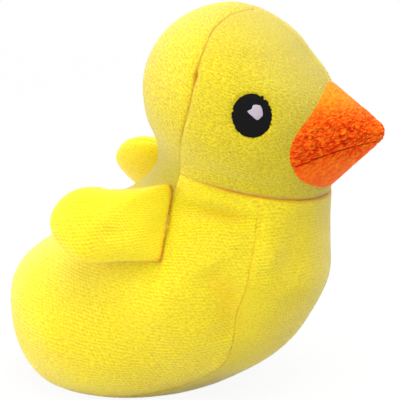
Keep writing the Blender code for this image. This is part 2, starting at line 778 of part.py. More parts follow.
def wing_groove(side, word):
    """A round bar on the root line, which clears a groove for the wing's rolled edge."""
    origin, back, upward, out = wing_frame(side)
    radius = WING_NOSE + 2 * GAP
    turns = np.linspace(0.0, 2 * math.pi, WAD_SIDES, endpoint=False)
    circle = np.outer(np.cos(turns), back) + np.outer(np.sin(turns), out)
    half = upward * (wing_span() / 2 + radius)
    ends = [[origin + end + circle * share for share in (0.0, radius)] for end in (half, -half)]
    return as_cutter(joined_domes("wing_groove_" + word, ends[0], ends[1], YELLOW_PLUSH))


def build():
    face_right = make_face("face_right", -1)
    face_left = make_face("face_left", 1)
    hood = make_hood()
    side_right = make_body_side("body_side_right", -1)
    side_left = make_body_side("body_side_left", 1)
    make_belly()
    wad_depth = SKIN + WAD_SLACK
    neck_gap = GAP / 2 / ring_length(NECK_RING, math.pi / 2)
    wad_facets = (WAD_RINGS_PER_STEP, WAD_SIDES)
    block_facets = (CUTTER_RINGS_PER_STEP, CUTTER_SIDES)
    closed_form("head_filling", 0.0, NECK_RING - neck_gap, wad_depth, wad_facets, WHITE_FIBRE)
    closed_form("body_filling", NECK_RING + neck_gap, LAST_RING, wad_depth, wad_facets, WHITE_FIBRE)
    head_block = closed_form("head_block", 0.0, BILL_SEAT_RING, -BILL_SEAT, block_facets, WHITE_FIBRE)
    make_bill(as_cutter(head_block))
    make_eye(-1, "right", face_right)
    make_eye(1, "left", face_left)
    for side, word, flank in ((-1, "right", side_right), (1, "left", side_left)):
        groove = wing_groove(side, word)
        cut(flank, groove)
        cut(hood, groove)
        make_wing(side, word)


build()
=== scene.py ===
"""The looks of the sewn plush duck: pile, seams, folds, stitched eyes and crushed bill, on the CAD frame."""

import json
import math

import bmesh
import bpy
import numpy as np
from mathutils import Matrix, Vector, noise
from mathutils.bvhtree import BVHTree

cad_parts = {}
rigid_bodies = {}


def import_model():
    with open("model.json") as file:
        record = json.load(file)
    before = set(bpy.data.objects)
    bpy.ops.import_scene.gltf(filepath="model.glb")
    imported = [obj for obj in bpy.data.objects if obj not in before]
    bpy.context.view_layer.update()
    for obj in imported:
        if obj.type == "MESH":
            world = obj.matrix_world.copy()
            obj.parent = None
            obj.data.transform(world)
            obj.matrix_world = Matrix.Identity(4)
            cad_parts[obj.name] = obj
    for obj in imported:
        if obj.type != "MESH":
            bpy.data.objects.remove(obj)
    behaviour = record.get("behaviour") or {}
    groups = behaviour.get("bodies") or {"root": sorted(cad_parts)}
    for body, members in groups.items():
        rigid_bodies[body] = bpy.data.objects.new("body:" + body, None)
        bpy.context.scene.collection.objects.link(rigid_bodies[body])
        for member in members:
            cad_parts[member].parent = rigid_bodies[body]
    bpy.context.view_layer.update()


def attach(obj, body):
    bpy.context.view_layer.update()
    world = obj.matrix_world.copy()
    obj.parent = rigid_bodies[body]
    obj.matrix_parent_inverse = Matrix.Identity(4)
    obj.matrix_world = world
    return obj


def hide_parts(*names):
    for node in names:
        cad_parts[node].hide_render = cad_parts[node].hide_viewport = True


for old in list(bpy.data.objects):
    bpy.data.objects.remove(old, do_unlink=True)
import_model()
MM = 0.001

# The stuffed form: rings from the crown to the rear, as shares of depth, height and width.
# Each is the back line's point, the front line's point (forward, up) and the half width.
FORM_HEIGHT = 0.144
FORM_DEPTH = 0.120
FORM_WIDTH = 0.089
RING_SHARES = (
    (0.265, 0.995, 0.265, 0.995, 0.000),
    (0.145, 1.005, 0.385, 0.935, 0.195),
    (0.015, 0.950, 0.435, 0.885, 0.320),
    (-0.065, 0.845, 0.505, 0.800, 0.395),
    (-0.065, 0.740, 0.510, 0.690, 0.410),
    (-0.040, 0.685, 0.510, 0.595, 0.380),
    (-0.025, 0.625, 0.510, 0.535, 0.355),
    (-0.055, 0.565, 0.505, 0.395, 0.400),
    (-0.155, 0.500, 0.500, 0.285, 0.455),
    (-0.270, 0.455, 0.400, 0.140, 0.490),
    (-0.380, 0.375, 0.260, 0.045, 0.500),
    (-0.470, 0.315, 0.050, -0.040, 0.485),
    (-0.500, 0.240, -0.125, -0.065, 0.410),
    (-0.490, 0.160, -0.330, -0.030, 0.270),
    (-0.465, 0.080, -0.465, 0.080, 0.000),
)
LAST_RING = len(RING_SHARES) - 1
NECK_RING = 6
ROUNDNESS_RINGS = (0, 9, 10, 11, 12, 13, 14)
ROUNDNESS_POWERS = (2.05, 2.05, 2.0, 2.1, 2.3, 2.3, 2.1)
REST_SINK = 0.0007
REST_SOFTNESS = 0.0025

# Seam lines: at these rings, the angle from the front line in degrees
HOOD_SEAM_RINGS = (0.0, 0.7, 1.3, 1.9, 2.6, 3.3, 3.8, 4.3, 5.3, 6.6, 7.2, 8.0, 8.6, 9.0, 9.2)
HOOD_SEAM_DEGREES = (110, 120, 115, 105, 103, 105, 109, 113, 121, 126, 131, 145, 159, 172, 180)
HOOD_TIP_RING = 9.2
BELLY_SEAM_RINGS = (6.0, 7.0, 7.6, 8.1, 8.6, 9.0, 9.8, 10.4, 11.0, 11.6, 12.2, 13.0, 14.0)
BELLY_SEAM_DEGREES = (68, 67, 66, 62, 57, 50, 40, 41, 49, 58, 64, 60, 60)

# Seams: how deep the pile rolls in, over what distance, and how far the turned edge goes down
SEAM_DEPTH = 1.0 * MM
SEAM_ROLL = 3.0 * MM
SEAM_PUCKER = 0.35
SEAM_PUCKER_SIZE = 2.6 * MM
RUFFLE_REACH = 45.0 * MM
SEAM_EASE = 16.0 * MM
SEAM_EASE_START = 1.4
SEAM_EASE_SHARE = 0.65
KNOT_PLACE = (2.69, -102.5)
KNOT_PULL = 2.6
KNOT_REACH = 1.5 * MM
FOREHEAD_SEAM_SHARE = 0.2
BELLY_SEAM_SHARE = 0.3
HOOD_SEAM_SHARE = 0.6
HEM_DEPTH = 2.4 * MM
EDGE_DEPTH = 1.2 * MM
# The panels' grid: its pace, the places its rows and sides are measured at, and the faces that set the grain
GRID_PACE = 0.75 * MM
PANEL_SAMPLES = 40
ROW_SAMPLES = 200
GRAIN_FACES = 60
# The way the knit rows run on the cheeks and on the flanks
HEAD_GRAIN = (0.0, -0.94, -0.34)
FLANK_GRAIN = (0.0, -1.0, 0.0)
# The panels stop this far from the ends of the form, in rings
POLE_RING = 0.02

# Soft lumps of the stuffing under the plush
LUMP_HEIGHT = 0.35 * MM
LUMP_SIZE = 13.0 * MM

TINY_STEP = 1e-4


def spline_bends(knots):
    """Second differences of the closed cubic spline through evenly spaced knots."""
    count = len(knots)
    system = 4.0 * np.eye(count) + np.roll(np.eye(count), 1, axis=1) + np.roll(np.eye(count), -1, axis=1)
    turn = np.roll(knots, -1, axis=0) - 2.0 * knots + np.roll(knots, 1, axis=0)
    return np.linalg.solve(system, 6.0 * turn)


def spline_at(knots, bends, place):
    """Points of the closed spline at places measured in knots."""
    place = np.mod(np.asarray(place, float), len(knots))
    first = np.floor(place).astype(int) % len(knots)
    second = (first + 1) % len(knots)
    after = (place - np.floor(place))[..., None]
    before = 1.0 - after
    straight = before * knots[first] + after * knots[second]
    bent = (before**3 - before) * bends[first] + (after**3 - after) * bends[second]
    return straight + bent / 6.0


def form_loop():
    """The front line down from the crown and the back line up again, with their half widths."""
    shares = np.array(RING_SHARES)
    sizes = np.array((FORM_DEPTH, FORM_HEIGHT))
    half_width = shares[:, 4:] * FORM_WIDTH
    front = np.hstack((shares[:, 2:4] * sizes, half_width))
    back = np.hstack((shares[:, 0:2] * sizes, -half_width))
    return np.vstack((front, back[-2:0:-1]))


FORM_KNOTS = form_loop()
FORM_BENDS = spline_bends(FORM_KNOTS)


def signed_power(value, power):
    """A power of the value's size that keeps its sign."""
    return np.sign(value) * np.abs(value) ** power


def form_point(ring, angle):
    """A point of the form. Angle 0 is the front line, and a positive angle is on the duck's left, +X."""
    front = spline_at(FORM_KNOTS, FORM_BENDS, ring)
    back = spline_at(FORM_KNOTS, FORM_BENDS, len(FORM_KNOTS) - np.asarray(ring))
    power = 2.0 / np.interp(ring, ROUNDNESS_RINGS, ROUNDNESS_POWERS)
    along = signed_power(np.cos(angle), power)
    across = signed_power(np.sin(angle), power)
    forward = (front[..., 0] + back[..., 0]) / 2 + (front[..., 0] - back[..., 0]) / 2 * along
    up = (front[..., 1] + back[..., 1]) / 2 + (front[..., 1] - back[..., 1]) / 2 * along
    up = (up + np.sqrt(up**2 + REST_SOFTNESS**2)) / 2 - REST_SINK
    return np.stack((front[..., 2] * across, -forward, up), axis=-1)


def form_normal(ring, angle):
    """The outward unit normal of the form."""
    down = form_point(ring + TINY_STEP, angle) - form_point(ring - TINY_STEP, angle)
    round_it = form_point(ring, angle + TINY_STEP) - form_point(ring, angle - TINY_STEP)
    normal = np.cross(down, round_it)
    return normal / np.linalg.norm(normal, axis=-1, keepdims=True)


def smooth_line(places, marks, values):
    """Values at places along a smooth line through its marks."""
    marks, values = np.array(marks, float), np.array(values, float)
    slopes = np.gradient(values, marks)
    after = np.clip(np.searchsorted(marks, places, side="right"), 1, len(marks) - 1)
    width = marks[after] - marks[after - 1]
    share = np.clip((places - marks[after - 1]) / width, 0.0, 1.0)
    rest = 1 - share
    start = rest**2 * ((1 + 2 * share) * values[after - 1] + share * width * slopes[after - 1])
    end = share**2 * ((1 + 2 * rest) * values[after] - rest * width * slopes[after])
    return start + end


def seam_angle(rings, seam_rings, seam_degrees):
    """The angle of a seam line at each ring, at most half a turn."""
    return np.minimum(smooth_line(rings, seam_rings, np.radians(seam_degrees)), math.pi)


def hood_seam(rings):
    """The angle of the back gusset's seam."""
    return seam_angle(rings, HOOD_SEAM_RINGS, HOOD_SEAM_DEGREES)


def belly_seam(rings):
    """The angle of the belly's seam."""
    return seam_angle(rings, BELLY_SEAM_RINGS, BELLY_SEAM_DEGREES)


def speed(ring, angle, by_angle):
    """Metres of form for one radian of angle, or for one step of ring."""
    step = (0.0, TINY_STEP) if by_angle else (TINY_STEP, 0.0)
    move = form_point(ring + step[0], angle + step[1]) - form_point(ring - step[0], angle - step[1])
    return np.linalg.norm(move, axis=-1) / (2 * TINY_STEP)


def spread(low, high, speeds, count):
    """Places from low to high, count steps apart by length, from the speeds along the way."""
    samples = np.linspace(low, high, len(speeds))
    lengths = np.concatenate(((0.0,), np.cumsum((speeds[1:] + speeds[:-1]) / 2 * np.diff(samples))))
    return np.interp(np.linspace(0.0, lengths[-1], count + 1), lengths, samples)


def smooth_noise(points, size, seed=0.0):
    """Soft noise from -1 to 1 at points, with lumps of about the given size."""
    shift = Vector((seed, 2 * seed, 3 * seed))
    return np.array([noise.noise(Vector(point) / size + shift) for point in points.reshape(-1, 3)]).reshape(
        points.shape[:-1]
    )


def smooth_step(value):
    """A soft rise from 0 to 1 as the value goes from 0 to 1."""
    value = np.clip(value, 0.0, 1.0)
    return value * value * (3 - 2 * value)


# Folds in the flanks: ring and degrees along the line, depth inward and reach of the soft valley.
# Each degree is for the duck's right flank, with the sign turned round on its left.
FOLDS = (
    (((6.84, -113), (6.72, -104), (6.63, -94), (6.59, -85), (6.55, -76.5), (6.55, -66)), 3.3 * MM, 2.7 * MM),
    (((8.30, -103), (8.60, -99), (8.85, -95)), 1.6 * MM, 2.8 * MM),
    (((7.00, -118), (7.10, -106), (7.15, -92), (7.2, -80)), -0.6 * MM, 4.0 * MM),
    (((8.40, -104), (8.59, -99), (8.87, -91), (9.25, -81), (9.70, -68)), -1.8 * MM, 8.5 * MM),
    (((7.80, -86), (8.02, -80), (8.33, -68), (8.70, -58), (9.25, -50)), 3.4 * MM, 7.5 * MM),
    (((6.75, -61), (7.07, -57.5), (7.61, -56.5)), -1.3 * MM, 5.0 * MM),
    (((6.31, -33.5), (6.75, -37.5), (7.85, -39.5)), 1.1 * MM, 6.0 * MM),
)
FOLD_LIMIT = 3.5 * MM
# Folds deeper than FOLD_SHADE_START are darkened as painted shade, by this share per metre
FOLD_SHADE = 0.13 / MM
FOLD_SHADE_START = 0.8 * MM
FOLDED = ("body_side_right", "body_side_left", "belly_gusset")


def fold_depth(points, side):
    """How far the folds of one flank draw each point inward."""
    total = np.zeros(points.shape[:-1])
    for line, depth, reach in FOLDS:
        marks = [form_point(np.array(ring), np.radians(-side * degrees)) for ring, degrees in line]
        nearest = np.full(points.shape[:-1], 1.0)
        along = np.zeros(points.shape[:-1])
        for index, (start, end) in enumerate(zip(marks, marks[1:])):
            run = end - start
            share = np.clip((points - start) @ run / (run @ run), 0.0, 1.0)
            gap = np.linalg.norm(points - start - share[..., None] * run, axis=-1)
            closer = gap < nearest
            nearest = np.where(closer, gap, nearest)
            along = np.where(closer, (index + share) / (len(marks) - 1), along)
        fade = np.sin(math.pi * np.clip(along, 0.04, 0.96)) ** 0.5
        total += depth * fade * np.exp(-((nearest / reach) ** 2))
    return np.minimum(total, FOLD_LIMIT)


def edge_distance(points, seams):
    """How far a grid's points lie from each sewn edge of low, high, top and bottom, with the seam's share."""
    across = np.pad(np.linalg.norm(np.diff(points, axis=1), axis=-1), ((0, 0), (1, 0))).cumsum(axis=1)
    along = np.pad(np.linalg.norm(np.diff(points, axis=0), axis=-1), ((1, 0), (0, 0))).cumsum(axis=0)
    places = (across, across[:, -1:] - across, along, along[-1:] - along)
    return [(place, share) for place, share in zip(places, seams) if share]


def rolled(distance, depth, roll):
    """The depth of a pile that rolls down into a seam."""
    share = np.clip(1.0 - distance / roll, 0.0, 1.0)
    return depth * (1.0 - np.sqrt(1.0 - share**2))


def new_object(name, points, faces, material):
    """A smooth-shaded object from points and faces, with one material."""
    mesh = bpy.data.meshes.new(name)
    mesh.from_pydata([tuple(map(float, point)) for point in points], [], faces)
    mesh.update()
    mesh.shade_smooth()
    mesh.materials.append(material)
    made = bpy.data.objects.new(name, mesh)
    bpy.context.scene.collection.objects.link(made)
    return made


def grid_faces(rows, columns):
    """Quads over a grid of points, wound to face along rows cross columns."""
    corner = (np.arange(rows - 1)[:, None] * columns + np.arange(columns - 1)).ravel()
    return np.stack((corner, corner + columns, corner + columns + 1, corner + 1), axis=-1).tolist()


def border(rows, columns):
    """The indices round a grid, in order."""
    top = list(range(columns))
    right = [row * columns + columns - 1 for row in range(1, rows)]
    bottom = [(rows - 1) * columns + column for column in range(columns - 2, -1, -1)]
    left = [row * columns for row in range(rows - 2, 0, -1)]
    return top + right + bottom + left


def hemmed(points, normals):
    """A grid's points and faces with a turned-in hem added round its edge."""
    rows, columns = points.shape[:2]
    flat = points.reshape(-1, 3)
    inward = -normals.reshape(-1, 3)
    edge = border(rows, columns)
    faces = grid_faces(rows, columns)
    every = [flat]
    last = edge
    for share in (0.5, 1.0):
        every.append(flat[edge] + inward[edge] * HEM_DEPTH * share)
        ring = [sum(len(part) for part in every[:-1]) + index for index in range(len(edge))]
        for here in range(len(edge)):
            after = (here + 1) % len(edge)
            faces.append((last[here], last[after], ring[after], ring[here]))
        last = ring
    return np.concatenate(every), faces


def lay_grain(obj, point, direction):
    """Flattens the panel without stretching its shapes, in millimetres, with the pile's rows along a direction."""
    for other in bpy.context.selected_objects:
        other.select_set(False)
    bpy.context.view_layer.objects.active = obj
    obj.select_set(True)
    obj.data.uv_layers.new(name="grain")
    bpy.ops.object.mode_set(mode="EDIT")
    bpy.ops.mesh.select_all(action="SELECT")
    bpy.ops.uv.unwrap(method="CONFORMAL", margin=0.0)
    bpy.ops.object.mode_set(mode="OBJECT")
    mesh = obj.data
    places = read(mesh.vertices, "co", 3)[read(mesh.loops, "vertex_index", kind=int)]
    uv = read(mesh.uv_layers["grain"].data, "uv", 2)
    starts = read(mesh.polygons, "loop_start", kind=int)
    first = places[starts]
    run, turn = places[starts + 1] - first, places[starts + 2] - first
    flat_run, flat_turn = uv[starts + 1] - uv[starts], uv[starts + 2] - uv[starts]
    near = np.argsort(np.linalg.norm(first - np.array(point), axis=1))[:GRAIN_FACES]
    way = np.array(direction, float)
    turns, scales = [], []
    for index in near:
        sides = np.stack((run[index], turn[index]), axis=1)
        share = np.linalg.lstsq(sides, way / np.linalg.norm(way), rcond=None)[0]
        flat_way = share[0] * flat_run[index] + share[1] * flat_turn[index]
        turns.append(flat_way / np.linalg.norm(flat_way))
        area = np.linalg.norm(np.cross(run[index], turn[index]))
        flat_area = abs(flat_run[index][0] * flat_turn[index][1] - flat_run[index][1] * flat_turn[index][0])
        scales.append(math.sqrt(area / max(flat_area, 1e-18)))
    mean = np.mean(turns, axis=0)
    mean /= np.linalg.norm(mean)
    turned = np.stack((uv @ mean, uv[:, 1] * mean[0] - uv[:, 0] * mean[1]), axis=-1)
    turned *= float(np.median(scales)) / MM
    mesh.uv_layers["grain"].data.foreach_set("uv", turned.astype(np.float32).ravel())
    obj.select_set(False)


def read(items, name, width=1, kind=float):
    """One value of every item of a mesh, as rows of a given width."""
    values = np.zeros(len(items) * width, kind)
    items.foreach_get(name, values)
    return values.reshape(-1, width) if width > 1 else values


def keep_share(obj, name, shares):
    """Keeps a share from 0 to 1 for each point, for the material to read."""
    layer = obj.data.attributes.new(name, "FLOAT", "POINT")
    layer.data.foreach_set("value", np.asarray(shares, np.float32))


def keep_painted_shade(obj, shares):
    """Keeps how deep each point lies, from 0 on top to 1 in a seam, for the material to darken as painted shade."""
    keep_share(obj, "painted_shade", shares)


def panel(name, rings, low, high, seams, node, grain, material):
    """A plush panel between two seam lines, its pile rolled into the sewn edges."""
    width = speed(rings[:, None], (low + (high - low) / 2)[:, None], True)[:, 0] * (high - low)
    columns = int(math.ceil(width.max() / GRID_PACE))
    rows = []
    for ring, start, end in zip(rings, low, high):
        samples = np.linspace(start, end, PANEL_SAMPLES)
        rows.append(spread(start, end, speed(ring, samples, True), columns))
    angles = np.array(rows)
    across = np.repeat(rings[:, None], angles.shape[1], axis=1)
    points = form_point(across, angles)
    normals = form_normal(across, angles)
    pucker = 1.0 + SEAM_PUCKER * smooth_noise(points, SEAM_PUCKER_SIZE, 3.0)
    depth = np.zeros(points.shape[:2])
    for distance, share in edge_distance(points, seams):
        depth = np.maximum(depth, rolled(distance, SEAM_DEPTH * share, SEAM_ROLL))
    # The seams' inward sink, which also sets their painted shade, with a dark dot of painted shade at the hood's
    # tight stitch
    shaded_sink = depth * pucker * seam_strain(points)
    folds = fold_depth(points, -1) + fold_depth(points, 1) if node in FOLDED else np.zeros(points.shape[:2])
    depth = shaded_sink + folds + face_depth(points)
    points = points - normals * depth[..., None]
    points[..., 2] = np.maximum(points[..., 2], 0.0)
    verts, faces = hemmed(points, normals)
    made = new_object(name, verts, faces, material)
    # Painted shade: seams and folds are darkened by how deep they sink
    shade = np.maximum(shaded_sink / SEAM_DEPTH, FOLD_SHADE * np.clip(folds - FOLD_SHADE_START, 0.0, None))
    keep_painted_shade(made, np.pad(shade.ravel(), (0, len(verts) - shaded_sink.size), constant_values=1.0))
    if material is HEAD_PLUSH:
        root = np.array((0.0, BILL_LENGTH - BILL_NOSE[0], BILL_NOSE[1]))
        away = np.linalg.norm(verts - root, axis=-1)
        keep_share(made, "ruffle", smooth_step((RUFFLE_REACH - away) / (RUFFLE_REACH - BILL_ROOT_RADIUS)))
    lay_grain(made, *grain)
    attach(made, "duck")
    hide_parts(node)


def seam_strain(points):
    """Seams lie flatter where the face, the hood and a flank meet, and one stitch of the hood pulls tight."""
    strain = np.ones(points.shape[:-1])
    for side in (-1, 1):
        corner = form_point(np.array(float(NECK_RING)), side * hood_seam(np.array(float(NECK_RING))))
        near = np.linalg.norm(points - corner, axis=-1) / SEAM_EASE
        strain -= SEAM_EASE_SHARE * smooth_step(SEAM_EASE_START - near)
    knot = form_point(np.array(KNOT_PLACE[0]), np.radians(KNOT_PLACE[1]))
    return strain + KNOT_PULL * np.exp(-((np.linalg.norm(points - knot, axis=-1) / KNOT_REACH) ** 2))


# Pile, rows and threads, in the grain map's millimetres
KNIT_ROW_MM = 1.2
KNIT_STITCH_MM = 1.5
THREAD_MM = 0.42
RUFFLED_STRANDS = 0.4
PILE_BUMP = 0.50 * MM
PILE_GLOSS = 0.40
PILE_SHEEN = 0.4
SHEEN_ROUGHNESS = 0.3
ORANGE_BUMP = 0.25 * MM
CRUSHED_BUMP = 0.55 * MM
THREAD_BUMP = 0.12 * MM
FIBRE_BUMP = 0.6 * MM
# Tones as (height, colour), from the depths between the tips to the tips; the darker depths are partly the pile's
# tone and partly painted shade
PILE_TONES = ((0.22, (0.85, 0.59, 0.001)), (0.5, (0.95, 0.765, 0.002)), (0.78, (1.0, 0.90, 0.008)))
# Painted shade: the colour that seams, folds and the wings' front and lower edges are mixed towards
PILE_PAINTED_SHADE = (0.98, 0.50, 0.0)
PILE_TINT = (1.0, 0.97, 0.80)
ORANGE_TONES = ((0.35, (0.95, 0.085, 0.002)), (0.65, (1.0, 0.19, 0.005)))
# Painted light: the upper bill's top is lighter, as if lit from above
ORANGE_LIT_TOP_TONES = ((0.35, (1.0, 0.24, 0.004)), (0.65, (1.0, 0.40, 0.012)))
# The crushed ridges' valleys are darker, partly as painted shade
ORANGE_CRUSHED_TONES = ((0.38, (0.84, 0.034, 0.001)), (0.50, (1.0, 0.10, 0.002)), (0.63, (1.0, 0.24, 0.007)))
# Painted shade for the bill's wrinkle valleys and mouth seam
ORANGE_PAINTED_SHADE = (0.72, 0.018, 0.0)
ORANGE_TINT = (1.0, 0.6, 0.3)
BLACK_TONES = ((0.2, (0.002, 0.002, 0.002)), (0.8, (0.008, 0.008, 0.009)))
PALE_TONES = ((0.2, (0.36, 0.31, 0.37)), (0.8, (0.70, 0.62, 0.70)))
FIBRE_TONES = ((0.3, (0.62, 0.62, 0.60)), (0.7, (0.88, 0.88, 0.86)))
WHITE = (1.0, 1.0, 1.0)


class Nodes:
    """A node tree with short ways to add and join its nodes."""

    def __init__(self, tree):
        self.tree = tree

    def node(self, kind, values=(), **settings):
        """A node with settings, and with inputs given as (name or index, value or socket)."""
        made = self.tree.nodes.new(kind)
        for key, value in settings.items():
            setattr(made, key, value)
        self.fill(made, *values)
        return made

    def fill(self, node, *values):
        for key, value in values:
            if isinstance(value, bpy.types.NodeSocket):
                self.tree.links.new(value, node.inputs[key])
            else:
                node.inputs[key].default_value = value

    def math(self, operation, first, second=0.0, third=0.0):
        return self.node("ShaderNodeMath", ((0, first), (1, second), (2, third)), operation=operation).outputs[0]

    def plus(self, first, second):
        return self.math("ADD", first, second)

    def times(self, first, second):
        return self.math("MULTIPLY", first, second)

    def centred(self, value):
        return self.math("SUBTRACT", value, 0.5)

    def wave(self, phase):
        """A sine from 0 to 1."""
        return self.math("MULTIPLY_ADD", self.math("SINE", phase), 0.5, 0.5)

    def seen_directly(self):
        """1 where a ray from the camera, a reflection or a see-through surface lands, so all show the backdrop."""
        path = self.node("ShaderNodeLightPath").outputs
        total = self.math("MAXIMUM", path["Is Camera Ray"], path["Is Glossy Ray"])
        return self.math("MAXIMUM", total, path["Is Transmission Ray"])


class Surface(Nodes):
    """A material, with the textures that its cloth and thread are made of."""

    def __init__(self, name):
        self.material = bpy.data.materials.new(name)
        self.material.use_nodes = True
        super().__init__(self.material.node_tree)
        self.shader = self.tree.nodes["Principled BSDF"]

    def attribute(self, name):
        return self.node("ShaderNodeAttribute", attribute_name=name).outputs["Fac"]

    def grain(self):
        """The panel's flat grain map, in millimetres."""
        return self.node("ShaderNodeUVMap", uv_map="grain").outputs["UV"]

    def space(self):
        """The object's own space, in metres."""
        return self.node("ShaderNodeTexCoord").outputs["Object"]

    def noise(self, vector, scale, detail=2.0, roughness=0.5, distortion=0.0):
        """Noise by one scale, or by a scale along and one across a grain map."""
        if isinstance(scale, tuple):
            values = (("Vector", vector), ("Scale", (*scale, 1.0)))
            vector, scale = self.node("ShaderNodeMapping", values).outputs[0], 1.0
        names = ("Vector", "Scale", "Detail", "Roughness", "Distortion")
        values = zip(names, (vector, scale, detail, roughness, distortion))
        return self.node("ShaderNodeTexNoise", values).outputs["Fac"]

    def ramp(self, value, stops):
        """A colour or a grey by stops of (place, colour or grey)."""
        made = self.node("ShaderNodeValToRGB", (("Fac", value),))
        elements = made.color_ramp.elements
        while len(elements) < len(stops):
            elements.new(0.5)
        for element, (place, colour) in zip(elements, stops):
            element.position = place
            element.color = (*colour, 1.0) if isinstance(colour, tuple) else (colour, colour, colour, 1.0)
        return made.outputs["Color"]

    def mix(self, share, first, second, blend="MIX"):
        values = (("Factor", share), (6, first), (7, second))
        return self.node("ShaderNodeMix", values, data_type="RGBA", blend_type=blend).outputs[2]

    def bump(self, height, distance, strength=1.0):
        values = (("Height", height), ("Distance", distance), ("Strength", strength))
        return self.node("ShaderNodeBump", values).outputs[0]

    def finish(self, colour, roughness, normal, gloss, sheen, sheen_roughness, sheen_tint):
        """Joins the colour, roughness and bump to the shader and sets its sheen."""
        self.fill(self.shader, ("Base Color", colour), ("Roughness", roughness), ("Normal", normal))
        self.shader.inputs["Sheen Weight"].default_value = sheen
        self.shader.inputs["Sheen Roughness"].default_value = sheen_roughness
        self.shader.inputs["Sheen Tint"].default_value = (*sheen_tint, 1.0)
        self.shader.inputs["Specular IOR Level"].default_value = gloss
        return self.material


def knitted_plush(name, rows, strands):
    """Short yellow pile on a knitted back: rows that show through, over lying strands."""
    made = Surface(name)
    grain, space = made.grain(), made.space()
    # Lying strands, longer along the rows than across them
    lean = made.times(made.centred(made.noise(grain, (0.10, 0.10), 1.0)), 2.0)
    split = made.node("ShaderNodeSeparateXYZ", (("Vector", grain),)).outputs
    bent_up = made.plus(split[1], lean)
    bent = made.node("ShaderNodeCombineXYZ", (("X", split[0]), ("Y", bent_up))).outputs[0]
    strand = made.noise(bent, (0.55, 1.9), 3.0, 0.6)
    tuft = made.noise(bent, (1.3, 2.2), 2.0, 0.6)
    # Knit rows, broken into stitches, which show in patches
    phase = made.times(bent_up, 2 * math.pi / KNIT_ROW_MM)
    along = made.times(split[0], 2 * math.pi / KNIT_STITCH_MM)
    stitch = made.wave(made.math("MULTIPLY_ADD", phase, 0.5, along))
    knit = made.math("MULTIPLY_ADD", stitch, 0.35, made.times(made.wave(phase), 0.65))
    knit = made.times(made.centred(knit), made.ramp(made.noise(space, 55.0), ((0.35, 0.25), (0.65, 1.0))))
    # The pile stands up round the bill, and shows its depths there, which are darker partly as painted shade
    strands = made.math("MULTIPLY_ADD", made.attribute("ruffle"), RUFFLED_STRANDS, strands)
    pile = made.plus(made.times(made.centred(strand), strands), made.times(made.centred(tuft), strands))
    height = made.plus(made.plus(made.times(knit, rows), pile), 0.5)
    # Tips are paler than the depths between them, and seams, folds and the wings' front and lower edges are darkened
    # further as painted shade
    shaded_sink = made.ramp(made.attribute("painted_shade"), ((0.10, 0.0), (0.75, 0.8)))
    tone = made.mix(shaded_sink, made.ramp(height, PILE_TONES), (*PILE_PAINTED_SHADE, 1.0))
    shade = made.ramp(made.noise(space, 22.0, 3.0, 0.55), ((0.35, (0.97, 0.95, 0.90)), (0.65, WHITE)))
    tone = made.mix(1.0, tone, shade, "MULTIPLY")
    roughness = made.ramp(height, ((0.3, 0.42), (0.7, 0.32)))
    normal = made.bump(height, PILE_BUMP, 0.9)
    return made.finish(tone, roughness, normal, PILE_GLOSS, PILE_SHEEN, SHEEN_ROUGHNESS, PILE_TINT)


def crushed_plush():
    """Orange pile: smooth on top and lighter there as painted light from above, crushed into short curling ridges
    where "crush" is high, with painted shade in its wrinkle valleys and mouth seam.
    """
    made = Surface("orange_plush")
    grain, space = made.grain(), made.space()
    ridge = made.noise(grain, (0.48, 1.05), 0.5, 0.5, 0.9)
    strand = made.noise(grain, (0.8, 2.4), 2.0, 0.5, 0.3)
    height = made.plus(made.times(ridge, 0.82), made.times(strand, 0.18))
    crush = made.attribute("crush")
    # The "pale" share is painted light that lightens the upper bill's top; the lower bill takes an even small share
    smooth = made.mix(made.attribute("pale"), made.ramp(height, ORANGE_TONES), made.ramp(height, ORANGE_LIT_TOP_TONES))
    tone = made.mix(crush, smooth, made.ramp(height, ORANGE_CRUSHED_TONES))
    # Painted shade in the wrinkle valleys and along the mouth seam
    shaded_sink = made.ramp(made.attribute("painted_shade"), ((0.45, 0.0), (0.95, 0.85)))
    tone = made.mix(shaded_sink, tone, (*ORANGE_PAINTED_SHADE, 1.0))
    shade = made.ramp(made.noise(space, 90.0), ((0.35, (0.93, 0.85, 0.8)), (0.65, WHITE)))
    tone = made.mix(1.0, tone, shade, "MULTIPLY")
    roughness = made.ramp(height, ((0.3, 0.70), (0.7, 0.52)))
    normal = made.bump(height, made.math("MULTIPLY_ADD", crush, CRUSHED_BUMP, ORANGE_BUMP))
    return made.finish(tone, roughness, normal, 0.08, 0.1, SHEEN_ROUGHNESS, ORANGE_TINT)


def stitched_thread(name, tones, sheen):
    """Satin stitches: close shiny threads, side by side."""
    made = Surface(name)
    grain = made.grain()
    split = made.node("ShaderNodeSeparateXYZ", (("Vector", grain),))
    wobble = made.centred(made.noise(grain, (0.5, 0.5)))
    place = made.math("MULTIPLY_ADD", wobble, 0.7, split.outputs[1])
    thread = made.wave(made.times(place, 2 * math.pi / THREAD_MM))
    height = made.plus(made.times(thread, 0.7), made.times(made.noise(grain, (3.0, 6.0)), 0.3))
    roughness = made.ramp(height, ((0.2, 0.75), (0.8, 0.45)))
    normal = made.bump(height, THREAD_BUMP, 0.8)
    return made.finish(made.ramp(height, tones), roughness, normal, 0.10, sheen, SHEEN_ROUGHNESS, WHITE)


def fibre_fill():
    """White polyester fibre."""
    made = Surface("white_fibre")
    strand = made.noise(made.space(), 900.0, 4.0, 0.65, 1.5)
    roughness = made.ramp(strand, ((0.3, 1.0), (0.7, 0.9)))
    return made.finish(made.ramp(strand, FIBRE_TONES), roughness, made.bump(strand, FIBRE_BUMP), 0.2, 0.3, 0.5, WHITE)


